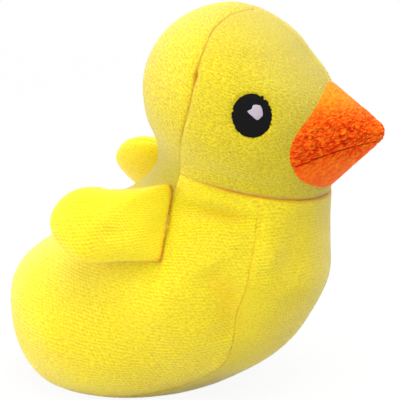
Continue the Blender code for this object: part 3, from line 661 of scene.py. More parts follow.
# The head's pile hides its rows, the body's less, and the wings' rows show most
HEAD_PLUSH = knitted_plush("head_plush", 0.25, 2.6)
BODY_PLUSH = knitted_plush("body_plush", 0.45, 1.3)
WING_PLUSH = knitted_plush("wing_plush", 0.50, 0.8)
CRUSHED_PLUSH = crushed_plush()
BLACK_THREAD = stitched_thread("black_thread", BLACK_TONES, 0.0)
PALE_THREAD = stitched_thread("pale_thread", PALE_TONES, 0.2)
FIBRE = fibre_fill()


# Eyes: satin-stitched ovals sunk into the cheek, at a ring and degrees of the form
EYE_RING = 3.38
EYE_DEGREES = 68.7
EYE_WIDTH = 13.9 * MM
EYE_HEIGHT = 15.3 * MM
EYE_TILT = math.radians(8.0)
EYE_DENT = 0.8 * MM
EYE_DENT_REACH = 1.2
EYE_DENT_EASE = 0.25
EYE_CROWN = 0.55 * MM
EYE_RIM = 0.25 * MM
EYE_SUNK = 1.6 * MM
STITCH_PITCH = 0.55 * MM
STITCH_STRAY = 0.28 * MM
# A pad's steps from its middle to its rim, and how far out its edge goes down
PAD_STEPS = 15
PAD_EDGE = 1.03
# The pale patch: its shift from the eye's middle, its height over the eye, how deep its edge goes,
# and the points of its outline forward and up, in millimetres
PATCH_FORWARD = 1.7 * MM
PATCH_UP = 1.3 * MM
PATCH_CROWN = 0.30 * MM
PATCH_EDGE = 0.2 * MM
PATCH_FORWARD_MM = (-1.3, 0.2, 1.4, 1.9, 2.0, 1.2, 0.1, -1.1, -2.1, -3.3, -2.0)
PATCH_UP_MM = (2.4, 2.5, 2.0, 0.5, -1.1, -2.0, -2.7, -1.9, -1.0, 0.4, 1.1)


def form_place(centre, along, upward, offset_along, offset_up):
    """The ring and angle of the form's points at offsets from a centre point, by Newton's steps."""
    ring = np.full(offset_along.shape, float(centre[0]))
    angle = np.full(offset_along.shape, float(centre[1]))
    origin = form_point(np.array(centre[0]), np.array(centre[1]))
    for _ in range(6):
        short = form_point(ring, angle) - origin
        miss = np.stack((offset_along - short @ along, offset_up - short @ upward), axis=-1)
        by_ring = form_point(ring + TINY_STEP, angle) - form_point(ring - TINY_STEP, angle)
        by_angle = form_point(ring, angle + TINY_STEP) - form_point(ring, angle - TINY_STEP)
        slopes = np.stack((by_ring @ along, by_angle @ along, by_ring @ upward, by_angle @ upward), axis=-1)
        slopes = slopes.reshape(*ring.shape, 2, 2)
        change = 2 * TINY_STEP * np.linalg.solve(slopes, miss[..., None])[..., 0]
        ring = ring + change[..., 0]
        angle = angle + change[..., 1]
    return ring, angle


def eye_axes(side):
    """The middle of an eye on the form, and the forward and upward directions in the surface there."""
    ring, angle = np.array(EYE_RING), np.array(side * math.radians(EYE_DEGREES))
    normal = form_normal(ring, angle)
    forward = np.cross((0.0, 0.0, 1.0), normal)
    forward = forward / np.linalg.norm(forward)
    upward = np.cross(normal, forward)
    forward = forward if forward[1] < 0 else -forward
    upward = upward if upward[2] > 0 else -upward
    return form_point(ring, angle), forward, upward


def eye_share(points, side):
    """How far out each point lies from an eye's middle, where 1 is its rim."""
    middle, forward, upward = eye_axes(side)
    away = points - middle
    across, rise = away @ forward, away @ upward
    turned = across * math.cos(EYE_TILT) + rise * math.sin(EYE_TILT)
    raised = rise * math.cos(EYE_TILT) - across * math.sin(EYE_TILT)
    share = np.sqrt((turned / (EYE_WIDTH / 2)) ** 2 + (raised / (EYE_HEIGHT / 2)) ** 2)
    return np.where(np.linalg.norm(away, axis=-1) < EYE_HEIGHT, share, 9.0)


def face_depth(points):
    """How far the eyes draw the cheeks in, and the lumps of the stuffing let them out."""
    depth = -LUMP_HEIGHT * smooth_noise(points, LUMP_SIZE, 9.0)
    for side in (-1, 1):
        depth += EYE_DENT * smooth_step((EYE_DENT_REACH - eye_share(points, side)) / EYE_DENT_EASE)
    return depth


def oval(width, height, tilt, count):
    """The points of a tilted oval round its middle."""
    turns = np.linspace(0.0, 2 * math.pi, count, endpoint=False)
    across, rise = width / 2 * np.cos(turns), height / 2 * np.sin(turns)
    return np.stack(
        (across * math.cos(tilt) - rise * math.sin(tilt), across * math.sin(tilt) + rise * math.cos(tilt)), axis=-1
    )


def stitched_rim(outline, seed):
    """An outline whose edge is ragged by the ends of its stitches."""
    ends = zip(np.floor(outline[:, 1] / STITCH_PITCH), np.sign(outline[:, 0]))
    stray = np.array([noise.noise(Vector((row * 0.77 + seed, end * 5.0, seed))) for row, end in ends])
    reach = np.linalg.norm(outline, axis=1, keepdims=True)
    return outline * (1.0 + 2.2 * STITCH_STRAY * stray[:, None] / reach)


def stitched_pad(name, side, outline, shift, heights, node, material):
    """A stitched patch on the cheek: a crowned top with an edge that goes down into the pile."""
    crown, rim, sunk = heights
    middle, forward, upward = eye_axes(side)
    centre = (EYE_RING, side * math.radians(EYE_DEGREES))
    shares = np.concatenate((np.linspace(0.0, 1.0, PAD_STEPS)[1:], (PAD_EDGE, PAD_EDGE)))
    loops, maps = [], []
    for index, share in enumerate(shares):
        flat = outline * share + shift
        ring, angle = form_place(centre, forward, upward, flat[:, 0], flat[:, 1])
        point = form_point(ring, angle)
        height = rim + (crown - rim) * math.sqrt(max(0.0, 1.0 - min(1.0, share) ** 2.5))
        if index >= len(shares) - 2:
            height = rim * 0.5 if index == len(shares) - 2 else -sunk
        loops.append(point - form_normal(ring, angle) * (face_depth(point) - height)[..., None])
        maps.append(flat / MM)
    count = len(outline)
    points = np.concatenate([loops[0].mean(axis=0, keepdims=True)] + loops)
    flat_map = np.concatenate([maps[0].mean(axis=0, keepdims=True)] + maps)
    faces = dome_faces(count, len(loops), 0, 1 + count * (len(loops) - 1))
    if side > 0:
        faces = [face[::-1] for face in faces]
    made = new_object(name, points, faces, material)
    face_out(made, middle - np.array((0.0, -0.025, 0.1)))
    layer = made.data.uv_layers.new(name="grain")
    for loop in made.data.loops:
        layer.data[loop.index].uv = flat_map[loop.vertex_index]
    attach(made, "duck")
    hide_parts(node)


def face_out(obj, way):
    """Turns an open patch's faces to look along a direction."""
    total = Vector((0.0, 0.0, 0.0))
    for face in obj.data.polygons:
        total += face.normal * face.area
    if total.dot(Vector(way)) < 0:
        obj.data.flip_normals()


# Bill: a blunt cone on the face, split by the mouth line, as in the CAD model
BILL_NOSE = (0.6325 * FORM_DEPTH, 0.6917 * FORM_HEIGHT)
BILL_NOSE_RADIUS = 4.5 * MM
BILL_FLARE = math.radians(40.8)
BILL_RISE = math.radians(4.0)
BILL_LENGTH = 31.0 * MM
BILL_ROOT_RADIUS = 27.0 * MM
BILL_PACE = 0.42 * MM
UPPER_COLUMNS = 0.62
LOWER_COLUMNS = 0.40
LEVEL_POWER = 16.0
MOUTH_MARKS = ((-0.835, -0.332), (-0.190, -0.126), (0.455, -0.094))
MOUTH_DEPTH = 0.8 * MM
MOUTH_ROLL = 1.4 * MM
MOUTH_STRAY = 0.5
# A ring whose mouth turn is larger than this lies wholly above the mouth line
WHOLE_RING = math.pi - 0.02
BILL_SEAM_DEPTH = 0.7 * MM
BILL_SEAM_ROLL = 1.3 * MM
BILL_BURIED = 1.8 * MM
MERGE_REACH = 0.02 * MM
WRINKLE_HEIGHT = 0.65 * MM
WRINKLE_SIZE = 1.7 * MM
# Without a seed, mathutils takes noise_vector's offsets from the clock
WRINKLE_SEED = 5


def bill_profile():
    """Reach forward and radius of the bill's rings from the nose's tip to the root."""
    steps = np.linspace(0.0, math.pi / 2 - BILL_FLARE, 18)[1:]
    nose = np.stack((BILL_NOSE_RADIUS * np.cos(steps), BILL_NOSE_RADIUS * np.sin(steps)), axis=-1)
    reach, radius = nose[-1]
    back = np.arange(BILL_PACE, BILL_LENGTH + reach, BILL_PACE)
    cone = radius + back * math.tan(BILL_FLARE)
    level = (cone**-LEVEL_POWER + BILL_ROOT_RADIUS**-LEVEL_POWER) ** (-1.0 / LEVEL_POWER)
    return np.concatenate((nose, np.stack((reach - back, level), axis=-1)))


def bill_point(reach, radius, turn):
    """A point of the bill. Turn 0 is the top, and a positive turn is on the duck's left."""
    forward = BILL_NOSE[0] + reach * math.cos(BILL_RISE) - radius * np.cos(turn) * math.sin(BILL_RISE)
    up = BILL_NOSE[1] + reach * math.sin(BILL_RISE) + radius * np.cos(turn) * math.cos(BILL_RISE)
    return np.stack((radius * np.sin(turn), -forward, up), axis=-1)


def mouth_height(forward):
    """How high the mouth line runs at each place forward."""
    corner, middle, end = (np.array(BILL_NOSE) + BILL_LENGTH * np.array(mark) for mark in MOUTH_MARKS)
    pull = 2 * middle - (corner + end) / 2
    share = np.linspace(0.0, 1.0, 60)[:, None]
    line = (1 - share) ** 2 * corner + 2 * share * (1 - share) * pull + share**2 * end
    slope = (line[1] - line[0]) / np.linalg.norm(line[1] - line[0])
    line = np.vstack((line[0] - slope * BILL_LENGTH, line))
    return np.interp(forward, line[:, 0], line[:, 1])


def mouth_turns(profile):
    """For each ring of the bill, the turn from the top at which the mouth line crosses it."""
    samples = np.linspace(0.0, math.pi, 400)
    found = []
    for reach, radius in profile:
        points = bill_point(reach, radius, samples)
        above = points[:, 2] - mouth_height(-points[:, 1]) > 0
        found.append(samples[np.argmin(above)] if not above.all() else math.pi)
    return np.array(found)


def crushed(points):
    """Height from -1 to 1 of the curling ridges that the pile is crushed into."""
    heights = []
    for point in points.reshape(-1, 3):
        place = Vector(point) / WRINKLE_SIZE
        warp = noise.noise_vector(place * 0.5) * 1.3
        bent = Vector((place.x * 0.8, place.y * 0.55 + place.z * 0.35, place.z * 1.3 - place.y * 0.35)) + warp
        ridge = 1.0 - 3.2 * abs(noise.noise(bent))
        fine = noise.noise(bent * 2.1 + Vector((7.0, 0.0, 0.0)))
        heights.append(0.8 * ridge + 0.5 * fine)
    return np.clip(np.array(heights), -1.0, 1.0).reshape(points.shape[:-1])


def crush_share(points, upper):
    """How crushed the pile is: most low on the upper bill, least on top and low on the lower bill."""
    up = points[..., 2] - BILL_NOSE[1]
    if upper:
        return 1.0 - 0.85 * smooth_step((up - 1 * MM) / (11 * MM))
    return 0.15 + 0.65 * smooth_step((up + 12 * MM) / (9 * MM))


def head_tree():
    """The two cheeks as one surface to measure from."""
    points, faces = [], []
    for name in ("plush_face_right", "plush_face_left"):
        mesh = bpy.data.objects[name].data
        start = len(points)
        points += [vertex.co.copy() for vertex in mesh.vertices]
        faces += [[start + index for index in face.vertices] for face in mesh.polygons]
    return BVHTree.FromPolygons(points, faces)


def bill_piece(name, upper, head, node):
    """The upper or the lower bill, rolled into the mouth seam and into the seam round its root."""
    profile = bill_profile()
    mouth = mouth_turns(profile)
    if not upper:
        keep = mouth < WHOLE_RING
        profile, mouth = profile[keep], mouth[keep]
    columns = int(2 * math.pi * profile[:, 1].max() / BILL_PACE * (UPPER_COLUMNS if upper else LOWER_COLUMNS))
    shares = np.linspace(0.0, 1.0, columns)
    low, high = (-mouth, mouth) if upper else (mouth, 2 * math.pi - mouth)
    turns = low[:, None] + (high - low)[:, None] * shares
    reach = np.repeat(profile[:, :1], columns, axis=1)
    radius = np.repeat(profile[:, 1:], columns, axis=1)
    points = bill_point(reach, radius, turns)
    edge = np.minimum(turns - low[:, None], high[:, None] - turns) * radius
    edge = np.where(mouth[:, None] > WHOLE_RING, MOUTH_ROLL, edge)
    edge = edge * (1.0 + MOUTH_STRAY * smooth_noise(points, 1.3 * MM, 6.0))
    normals = -np.cross(np.gradient(points, axis=0), np.gradient(points, axis=1))
    normals /= np.maximum(np.linalg.norm(normals, axis=-1, keepdims=True), 1e-12)
    centre = bill_point(-BILL_LENGTH / 2, 0.0, 0.0)
    if ((points - centre) * normals).sum() < 0:
        normals = -normals
    nearest = [head.find_nearest(Vector(point)) for point in points.reshape(-1, 3)]
    stand = np.array([(Vector(p) - hit[0]).dot(hit[1]) for p, hit in zip(points.reshape(-1, 3), nearest)])
    stand = stand.reshape(points.shape[:-1])
    depth = rolled(edge, MOUTH_DEPTH, MOUTH_ROLL)
    depth += rolled(np.clip(stand, 0.0, None), BILL_SEAM_DEPTH, BILL_SEAM_ROLL)
    fade = smooth_step(edge / MOUTH_ROLL) * smooth_step(stand / (2 * BILL_SEAM_ROLL))
    tip = smooth_step((BILL_NOSE[0] + 5 * MM + points[..., 1]) / (9 * MM))
    crush = crush_share(points, upper)
    wrinkles = crushed(points) * crush * fade * (0.35 + 0.65 * tip)
    # Painted shade: darker in the wrinkles' valleys and along the mouth seam
    painted_shade = np.clip(0.35 - 0.4 * wrinkles + rolled(edge, 0.6, 0.6 * MOUTH_ROLL), 0.0, 1.0)
    depth -= WRINKLE_HEIGHT * wrinkles
    points = points - normals * depth[..., None]
    outside = stand.ravel() > -BILL_BURIED
    faces = grid_faces(points.shape[0], columns)
    used, faces = own_points([face for face in faces if any(outside[index] for index in face)])
    made = new_object(name, points.reshape(-1, 3)[used], faces, CRUSHED_PLUSH)
    keep_painted_shade(made, painted_shade.ravel()[used])
    # Painted light: the upper bill is lighter towards its top, and the lower bill gets an even share
    pale = smooth_step((points[..., 2] - BILL_NOSE[1] - 6 * MM) / (11 * MM)) if upper else np.full(painted_shade.shape, 0.12)
    keep_share(made, "crush", (crush * (0.5 + 0.5 * tip)).ravel()[used])
    keep_share(made, "pale", pale.ravel()[used])
    merge_close(made)
    face_out_from(made, centre)
    solid_edge(made)
    lay_grain(made, (-0.018, -0.062, 0.098 if upper else 0.084), (0.25, -1.0, 0.35))
    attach(made, "duck")
    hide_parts(node)


def own_points(faces):
    """The points that some faces use, and the faces renumbered to them."""
    used = sorted({index for face in faces for index in face})
    renumbered = {index: place for place, index in enumerate(used)}
    return used, [tuple(renumbered[index] for index in face) for face in faces]


def merge_close(obj):
    """Joins the points that fall together where a ring has no width."""
    bm = bmesh.new()
    bm.from_mesh(obj.data)
    bmesh.ops.remove_doubles(bm, verts=bm.verts, dist=MERGE_REACH)
    bm.to_mesh(obj.data)
    bm.free()


def face_out_from(obj, centre):
    """Turns a shell's faces away from a point inside it."""
    total = 0.0
    for face in obj.data.polygons:
        total += face.area * face.normal.dot(face.center - Vector(centre))
    if total < 0:
        obj.data.flip_normals()


def solid_edge(obj):
    """Turns the open edge in, as a hem, with its faces in the edges' own order."""
    bm = bmesh.new()
    bm.from_mesh(obj.data)
    bm.normal_update()
    edges = [edge for edge in bm.edges if edge.is_boundary]
    turned = {}
    for vertex in [vertex for edge in edges for vertex in edge.verts]:
        if vertex not in turned:
            turned[vertex] = bm.verts.new(vertex.co - vertex.normal * EDGE_DEPTH, vertex)
    for edge in edges:
        loop = edge.link_loops[0]
        start, end = loop.vert, loop.link_loop_next.vert
        bm.faces.new((end, start, turned[start], turned[end]), loop.face)
    bm.to_mesh(obj.data)
    bm.free()
    obj.data.shade_smooth()


# Wings: the root line's ends on the flank as ring and degrees, the way a wing points, and its outline
WING_ROOT_LOW = (8.22, 104.0)
WING_ROOT_HIGH = (6.59, 126.0)
WING_SPLAY = math.radians(9.0)
WING_LIFT = 1.1 * MM
WING_LENGTH = 44.0 * MM
WING_THICKNESS = 13.0 * MM
WING_NOSE = 1.6 * MM
WING_ALONG_SHARES = (
    *(0.00, 0.00, 0.06, 0.30, 0.58, 0.73, 0.84, 0.93, 0.96),
    *(0.93, 0.85, 0.73, 0.60, 0.48, 0.25, 0.07, 0.00),
)
WING_UP_SHARES = (
    *(0.02, -0.42, -0.53, -0.58, -0.66, -0.60, -0.47, -0.31, -0.12),
    *(0.08, 0.25, 0.36, 0.39, 0.39, 0.46, 0.55, 0.47),
)
WING_CENTRE_SHARES = (0.50, -0.08)
WING_PUFF_PLACES = (0.0, 0.10, 0.30, 0.55, 0.80, 1.0)
WING_OUTER_SHARES = (0.12, 0.36, 0.60, 0.64, 0.56, 0.46)
WING_INNER_SHARES = (0.12, 0.13, 0.20, 0.30, 0.36, 0.34)
WING_SIDES = 150
WING_STEPS = 30
WING_SEAM_DEPTH = 0.45 * MM
WING_SEAM_ROLL = 1.2 * MM
# How far in from a wing's edge its painted shade reaches
WING_SHADE_REACH = 2.2 * MM
# The duck's left wing is sewn on a little higher at its tip than the right one
WING_RAISE = {-1: 0.0, 1: math.radians(8.0)}
# Dents and lumps of the outer side: share along and up the wing, depth inward and reach
WING_DENTS = (
    (0.33, -0.27, 1.0 * MM, 2.8 * MM),
    (0.42, -0.30, 0.7 * MM, 2.6 * MM),
    (0.45, -0.05, -0.6 * MM, 5.0 * MM),
    (0.20, 0.12, 0.5 * MM, 5.0 * MM),
)
# The wads of filling: how far in they lie from the plush, how lumpy they are, and their grid
WAD_DEPTH = 4.6 * MM
SMALL_WAD_DEPTH = 2.6 * MM
WAD_LUMP = 0.6 * MM
WAD_SIDES = 48
WAD_RINGS = 40


def wing_frame(side):
    """Origin, axes and root span of a wing: back along it, up along its root and out through it."""
    low = form_point(np.array(WING_ROOT_LOW[0]), side * math.radians(WING_ROOT_LOW[1]))
    high = form_point(np.array(WING_ROOT_HIGH[0]), side * math.radians(WING_ROOT_HIGH[1]))
    span = np.linalg.norm(high - low)
    upward = (high - low) / span
    back = np.array((side * math.sin(WING_SPLAY), math.cos(WING_SPLAY), 0.0))
    back = back - upward * (back @ upward)
    back = back / np.linalg.norm(back)
    out = np.cross(back, upward)
    out = out * side * np.sign(out[0])
    return (low + high) / 2 + out * WING_LIFT + back * WING_NOSE, back, upward, out, span


def wing_rows(side, way, shrink):
    """Loops of one side of a wing, from its middle out to its edge. Way 1 is the outer side."""
    origin, back, upward, out, span = wing_frame(side)
    knots = np.stack((WING_ALONG_SHARES, WING_UP_SHARES), axis=-1) * (WING_LENGTH, span)
    rim = spline_at(knots, spline_bends(knots), np.linspace(0.0, len(knots), WING_SIDES, endpoint=False))
    rim[:, 0] -= WING_NOSE
    middle = np.array(WING_CENTRE_SHARES) * (WING_LENGTH, span)
    puff = WING_OUTER_SHARES if way > 0 else WING_INNER_SHARES
    arms = rim - middle
    reach = np.linalg.norm(arms, axis=1, keepdims=True)
    rows = []
    for share in np.sin(np.linspace(0.0, math.pi / 2, WING_STEPS + 1)):
        flat = middle + arms * share * (1 - shrink / reach)
        place = np.clip((flat[:, 0] + WING_NOSE) / WING_LENGTH, 0.0, 1.0)
        thick = smooth_line(place, WING_PUFF_PLACES, puff) * WING_THICKNESS
        height = np.maximum(thick - shrink, 0.25 * thick) * math.sqrt(max(0.0, 1 - share**2))
        turn = WING_RAISE[side] * smooth_step(flat[:, 0] / (12 * MM))
        along = flat[:, 0] * np.cos(turn) - flat[:, 1] * np.sin(turn)
        rise = flat[:, 0] * np.sin(turn) + flat[:, 1] * np.cos(turn)
        rows.append(origin + np.outer(along, back) + np.outer(rise, upward) + np.outer(way * height, out))
    return rows


def dome_faces(sides, loops, start, rim):
    """Quads and a fan over loops that open out from one point. The last loop's first index is rim."""
    firsts = [start + 1 + sides * index for index in range(loops - 1)] + [rim]
    faces = []
    for here in range(sides):
        after = (here + 1) % sides
        faces.append((start, firsts[0] + here, firsts[0] + after))
        for first, second in zip(firsts, firsts[1:]):
            faces.append((first + here, second + here, second + after, first + after))
    return faces


def make_wing(side, word):
    """A wing's two plush panels, sewn round the edge and plump with filling."""
    origin, back, upward, out, span = wing_frame(side)
    outer, inner = wing_rows(side, 1, 0.0), wing_rows(side, -1, 0.0)
    loops = len(outer) - 1
    points = [outer[0].mean(axis=0, keepdims=True)] + outer[1:]
    rim = 1 + WING_SIDES * (loops - 1)
    start = rim + WING_SIDES
    points += [inner[0].mean(axis=0, keepdims=True)] + inner[1:-1]
    points = np.concatenate(points)
    outer_faces = dome_faces(WING_SIDES, loops, 0, rim)
    inner_faces = [face[::-1] for face in dome_faces(WING_SIDES, loops, start, rim)]
    whole = new_object("wing_" + word + "_whole", points, outer_faces + inner_faces, WING_PLUSH)
    face_out_from(whole, points.mean(axis=0))
    wing_edge_shade = shape_wing(whole, points[rim:start], side)
    shaped = read(whole.data.vertices, "co", 3)
    bpy.data.objects.remove(whole, do_unlink=True)
    body = "wing_" + word
    for layer, faces in (("outer", outer_faces), ("inner", inner_faces)):
        used, own = own_points(faces)
        made = new_object(f"plush_wing_{word}_{layer}", shaped[used], own, WING_PLUSH)
        face_out_from(made, shaped.mean(axis=0) - out * (3 * MM if layer == "outer" else -3 * MM))
        keep_painted_shade(made, wing_edge_shade[used])
        solid_edge(made)
        lay_grain(made, origin + back * WING_LENGTH / 2, back)
        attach(made, body)
        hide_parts(f"wing_{word}_{layer}")
    top, bottom = wing_rows(side, 1, SMALL_WAD_DEPTH), wing_rows(side, -1, SMALL_WAD_DEPTH)
    wad = [row[::5] for row in top[::5]] + [row[::5] for row in bottom[-6::-5]]
    make_wad(f"fibre_wing_{word}", wad, body, f"wing_{word}_filling")


def shape_wing(whole, rim, side):
    """Rolls the pile into the seam round a wing's edge, dents its outer side, and gives the share of painted shade
    near its front and lower edge.
    """
    mesh = whole.data
    places, normals = read(mesh.vertices, "co", 3), read(mesh.vertices, "normal", 3)
    distance = np.min(np.linalg.norm(places[:, None] - rim[None, ::2], axis=-1), axis=1)
    depth = rolled(distance, WING_SEAM_DEPTH, WING_SEAM_ROLL)
    depth -= LUMP_HEIGHT * 0.8 * smooth_noise(places, 9 * MM, 4.0)
    origin, back, upward, out, span = wing_frame(side)
    outer = smooth_step((normals @ out) / 0.5)
    for along, rise, dent, reach in WING_DENTS:
        place = origin + back * (along * WING_LENGTH) + upward * (rise * span)
        flat = (places - place) - np.outer((places - place) @ out, out)
        depth += dent * outer * np.exp(-((np.linalg.norm(flat, axis=1) / reach) ** 2))
    # Painted shade near the seam, strongest along the front edge and weaker along the lower edge
    flat = (places - origin) @ np.stack((back, upward), axis=-1)
    shaded_edges = np.maximum(smooth_step(1.5 - flat[:, 0] / (4 * MM)), 0.6 * smooth_step(-flat[:, 1] / (0.3 * span)))
    places = places - normals * depth[:, None]
    mesh.vertices.foreach_set("co", places.ravel())
    mesh.update()
    return shaded_edges * smooth_step(1.0 - distance / WING_SHADE_REACH)


def make_wad(name, loops, body, node):
    """A closed wad of fibre through loops of points."""
    sides = len(loops[0])
    points = np.concatenate(loops)
    points = points + WAD_LUMP * np.stack([smooth_noise(points, 4 * MM, seed) for seed in (1.0, 2.0, 3.0)], axis=-1)
    faces = []
    for index in range(len(loops) - 1):
        for here in range(sides):
            after = (here + 1) % sides
            first, second = index * sides, (index + 1) * sides
            faces.append((first + here, second + here, second + after, first + after))
    faces.append(tuple(range(sides)))
    faces.append(tuple(range(len(points) - 1, len(points) - 1 - sides, -1)))
    made = new_object(name, points, faces, FIBRE)
    face_out_from(made, points.mean(axis=0))
    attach(made, body)
    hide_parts(node)


def form_wad(name, first, last, node):
    """The wad of fibre inside the form between two rings."""
    angles = np.linspace(0.0, 2 * math.pi, WAD_SIDES, endpoint=False)
    loops = []
    for ring in np.linspace(first, last, WAD_RINGS):
        loops.append(form_point(ring, angles) - form_normal(ring, angles) * WAD_DEPTH)
    make_wad(name, loops, "duck", node)


def form_rows(start, end, angle):
    """Rings from start to end, one grid pace apart along the form at an angle."""
    samples = np.linspace(start, end, ROW_SAMPLES)
    speeds = speed(samples, np.full(ROW_SAMPLES, angle), False)
    count = int(math.ceil(float(np.sum(speeds) * (end - start) / ROW_SAMPLES) / GRID_PACE))
    return spread(start, end, speeds, count)


def make_panels():
    """The six plush panels of the stuffed form, and the wads inside."""
    head = form_rows(POLE_RING, NECK_RING, math.radians(70))
    zero = np.zeros(len(head))
    seam = hood_seam(head)
    cheek = form_point(np.array(3.0), np.array(math.radians(60)))
    for side, word in ((-1, "right"), (1, "left")):
        low, high = (zero, seam) if side > 0 else (-seam, zero)
        seams = (FOREHEAD_SEAM_SHARE, HOOD_SEAM_SHARE)[::side] + (0.0, 1.0)
        grain = (cheek * (side, 1, 1), HEAD_GRAIN)
        panel("plush_face_" + word, head, low, high, seams, "face_" + word, grain, HEAD_PLUSH)
    hood = form_rows(POLE_RING, HOOD_TIP_RING - 0.05, math.pi)
    seam = hood_seam(hood)
    nape = form_point(np.array(4.0), np.array(math.pi))
    grain = (nape, (1, 0, 0))
    seams = (HOOD_SEAM_SHARE, HOOD_SEAM_SHARE, 0.0, 0.0)
    panel("plush_hood", hood, seam, 2 * math.pi - seam, seams, "back_gusset", grain, HEAD_PLUSH)
    body = form_rows(NECK_RING, LAST_RING - POLE_RING, math.radians(100))
    hood, belly = hood_seam(body), belly_seam(body)
    flank = form_point(np.array(8.2), np.array(math.radians(75)))
    for side, word in ((-1, "right"), (1, "left")):
        low, high = (belly, hood) if side > 0 else (-hood, -belly)
        grain = (flank * (side, 1, 1), FLANK_GRAIN)
        node = "body_side_" + word
        seams = (BELLY_SEAM_SHARE, HOOD_SEAM_SHARE)[::side] + (1.0, 0.0)
        panel("plush_flank_" + word, body, low, high, seams, node, grain, BODY_PLUSH)
    chest = form_point(np.array(7.5), np.array(0.0))
    grain = (chest, (1, 0, 0))
    seams = (BELLY_SEAM_SHARE, BELLY_SEAM_SHARE, 1.0, 0.0)
    panel("plush_belly", body, -belly, belly, seams, "belly_gusset", grain, BODY_PLUSH)
    form_wad("fibre_head", 0.15, NECK_RING - 0.05, "head_filling")
    form_wad("fibre_body", NECK_RING + 0.05, LAST_RING - 0.15, "body_filling")


def make_bill():
    """Both bills with their crushed pile, and the filling inside."""
    noise.seed_set(WRINKLE_SEED)
    head = head_tree()
    bill_piece("plush_bill_upper", True, head, "bill_upper")
    bill_piece("plush_bill_lower", False, head, "bill_lower")
    angles = np.linspace(0.0, 2 * math.pi, 40, endpoint=False)
    rings = [(reach, max(radius - SMALL_WAD_DEPTH, 0.4 * MM)) for reach, radius in bill_profile()[8:48:3]]
    loops = [bill_point(reach, radius, angles) for reach, radius in rings]
    make_wad("fibre_bill", loops, "duck", "bill_filling")


def make_eyes():
    """Both stitched eyes, each with its pale patch."""
    for side, word in ((-1, "right"), (1, "left")):
        rim = stitched_rim(oval(EYE_WIDTH, EYE_HEIGHT, EYE_TILT, 180), 3.0 + side)
        here = np.zeros(2)
        heights = (EYE_CROWN, EYE_RIM, EYE_SUNK)
        stitched_pad("thread_eye_" + word, side, rim, here, heights, "eye_" + word, BLACK_THREAD)
        knots = np.stack((PATCH_FORWARD_MM, PATCH_UP_MM), axis=-1)[::-1] * MM
        patch = spline_at(knots, spline_bends(knots), np.linspace(0.0, len(knots), 66, endpoint=False))
        shift = np.array((PATCH_FORWARD, PATCH_UP))
        node = "eye_highlight_" + word
        crown = EYE_CROWN + PATCH_CROWN
        heights = (crown, crown - PATCH_EDGE, PATCH_EDGE)
        stitched_pad("thread_patch_" + word, side, patch, shift, heights, node, PALE_THREAD)


# The camera, set by the photograph's landmarks
CAMERA_AZIMUTH = math.radians(-75.0)
CAMERA_ELEVATION = math.radians(15.0)
CAMERA_DISTANCE = 0.700
CAMERA_AIM = (0.0, 0.0, 0.072)
CAMERA_RIGHT = 0.01125
CAMERA_UP = -0.0030
CAMERA_LENS = 168.0
CAMERA_SENSOR = 36.0

# Soft boxes round the duck: turn from the camera and height in degrees, power, and whether gloss shows them
WORLD_STRENGTH = 0.03
LIGHT_DISTANCE = 0.9
LIGHT_SIZE = 0.8
LIGHTS = {
    "front": (-5, 52, 3.0, False),
    "near_side": (-45, 5, 3.9, False),
    "side": (-102, 14, 4.5, True),
    "top": (0, 88, 6.5, False),
    "far_side": (130, 45, 4.0, True),
    "right": (42, 70, 3.0, False),
}
# The floor keeps a shadow near the duck, and whitens outward to meet the backdrop without a line
FLOOR_HALF = 9.0
FLOOR_TONE = 0.80
FLOOR_GLOW = 0.93
FLOOR_NEAR = 0.25
FLOOR_FAR = 0.80


def camera_axes():
    """The camera's right, up and back directions."""
    back = Vector(
        (
            math.sin(CAMERA_AZIMUTH) * math.cos(CAMERA_ELEVATION),
            -math.cos(CAMERA_AZIMUTH) * math.cos(CAMERA_ELEVATION),
            math.sin(CAMERA_ELEVATION),
        )
    )
    right = Vector((math.cos(CAMERA_AZIMUTH), math.sin(CAMERA_AZIMUTH), 0.0))
    return right, back.cross(right), back


def make_camera():
    """The camera that the photograph was taken with, as nearly as its landmarks tell."""
    right, up, back = camera_axes()
    data = bpy.data.cameras.new("photo_camera")
    data.lens = CAMERA_LENS
    data.sensor_width = CAMERA_SENSOR
    camera = bpy.data.objects.new("photo_camera", data)
    bpy.context.scene.collection.objects.link(camera)
    camera.location = Vector(CAMERA_AIM) + back * CAMERA_DISTANCE + right * CAMERA_RIGHT + up * CAMERA_UP
    camera.rotation_euler = (-back).to_track_quat("-Z", "Y").to_euler()
    bpy.context.scene.camera = camera


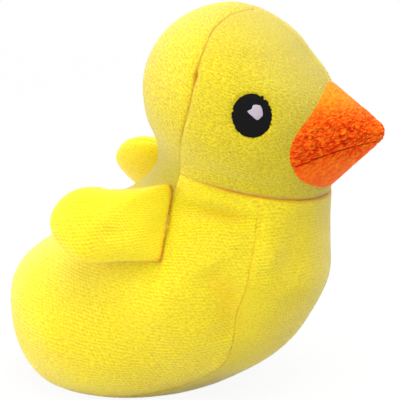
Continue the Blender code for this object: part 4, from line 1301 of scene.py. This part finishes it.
def area_light(name, turn, height, power, gloss):
    """A soft box that shines on the duck. Turn is in degrees from the camera, positive to its right."""
    turn, height = math.radians(turn), math.radians(height)
    right, _, back = camera_axes()
    level = Vector((back.x, back.y, 0.0)).normalized()
    way = (level * math.cos(turn) + right * math.sin(turn)) * math.cos(height)
    way += Vector((0.0, 0.0, 1.0)) * math.sin(height)
    data = bpy.data.lights.new(name, "AREA")
    data.shape = "DISK"
    data.size = LIGHT_SIZE
    data.energy = power
    light = bpy.data.objects.new(name, data)
    bpy.context.scene.collection.objects.link(light)
    light.location = Vector(CAMERA_AIM) + way * LIGHT_DISTANCE
    light.rotation_euler = (-way).to_track_quat("-Z", "Y").to_euler()
    light.visible_glossy = gloss


def make_stage():
    """A white paper floor that keeps the duck's shadow, a white backdrop and the soft boxes."""
    made = Surface("white_paper")
    made.shader.inputs["Base Color"].default_value = (FLOOR_TONE, FLOOR_TONE, FLOOR_TONE, 1.0)
    made.shader.inputs["Roughness"].default_value = 0.9
    glow = made.node("ShaderNodeEmission", (("Color", (*WHITE, 1.0)), ("Strength", 1.0)))
    place = made.node("ShaderNodeNewGeometry").outputs["Position"]
    reach = made.node("ShaderNodeVectorMath", ((0, place),), operation="LENGTH").outputs["Value"]
    limits = (("From Min", FLOOR_NEAR), ("From Max", FLOOR_FAR), ("To Min", FLOOR_GLOW), ("To Max", 1.0))
    share = made.node("ShaderNodeMapRange", (("Value", reach), *limits)).outputs["Result"]
    share = made.times(made.seen_directly(), share)
    shaders = ((0, share), (1, made.shader.outputs[0]), (2, glow.outputs[0]))
    made.fill(made.tree.nodes["Material Output"], ("Surface", made.node("ShaderNodeMixShader", shaders).outputs[0]))
    half = FLOOR_HALF
    corners = ((-half, -half, 0.0), (half, -half, 0.0), (half, half, 0.0), (-half, half, 0.0))
    floor = new_object("floor", corners, ((0, 1, 2, 3),), made.material)
    world = bpy.data.worlds.new("studio")
    world.use_nodes = True
    made = Nodes(world.node_tree)
    soft = made.tree.nodes["Background"]
    made.fill(soft, ("Strength", WORLD_STRENGTH), ("Color", (*WHITE, 1.0)))
    plain = made.node("ShaderNodeBackground", (("Color", (*WHITE, 1.0)), ("Strength", 1.0)))
    shaders = ((0, made.seen_directly()), (1, soft.outputs[0]), (2, plain.outputs[0]))
    made.fill(made.tree.nodes["World Output"], ("Surface", made.node("ShaderNodeMixShader", shaders).outputs[0]))
    bpy.context.scene.world = world
    for name, (turn, height, power, gloss) in LIGHTS.items():
        area_light(name, turn, height, power, gloss)


make_panels()
make_bill()
make_eyes()
make_wing(-1, "right")
make_wing(1, "left")
make_camera()
make_stage()
bpy.context.scene.view_settings.view_transform = "Standard"
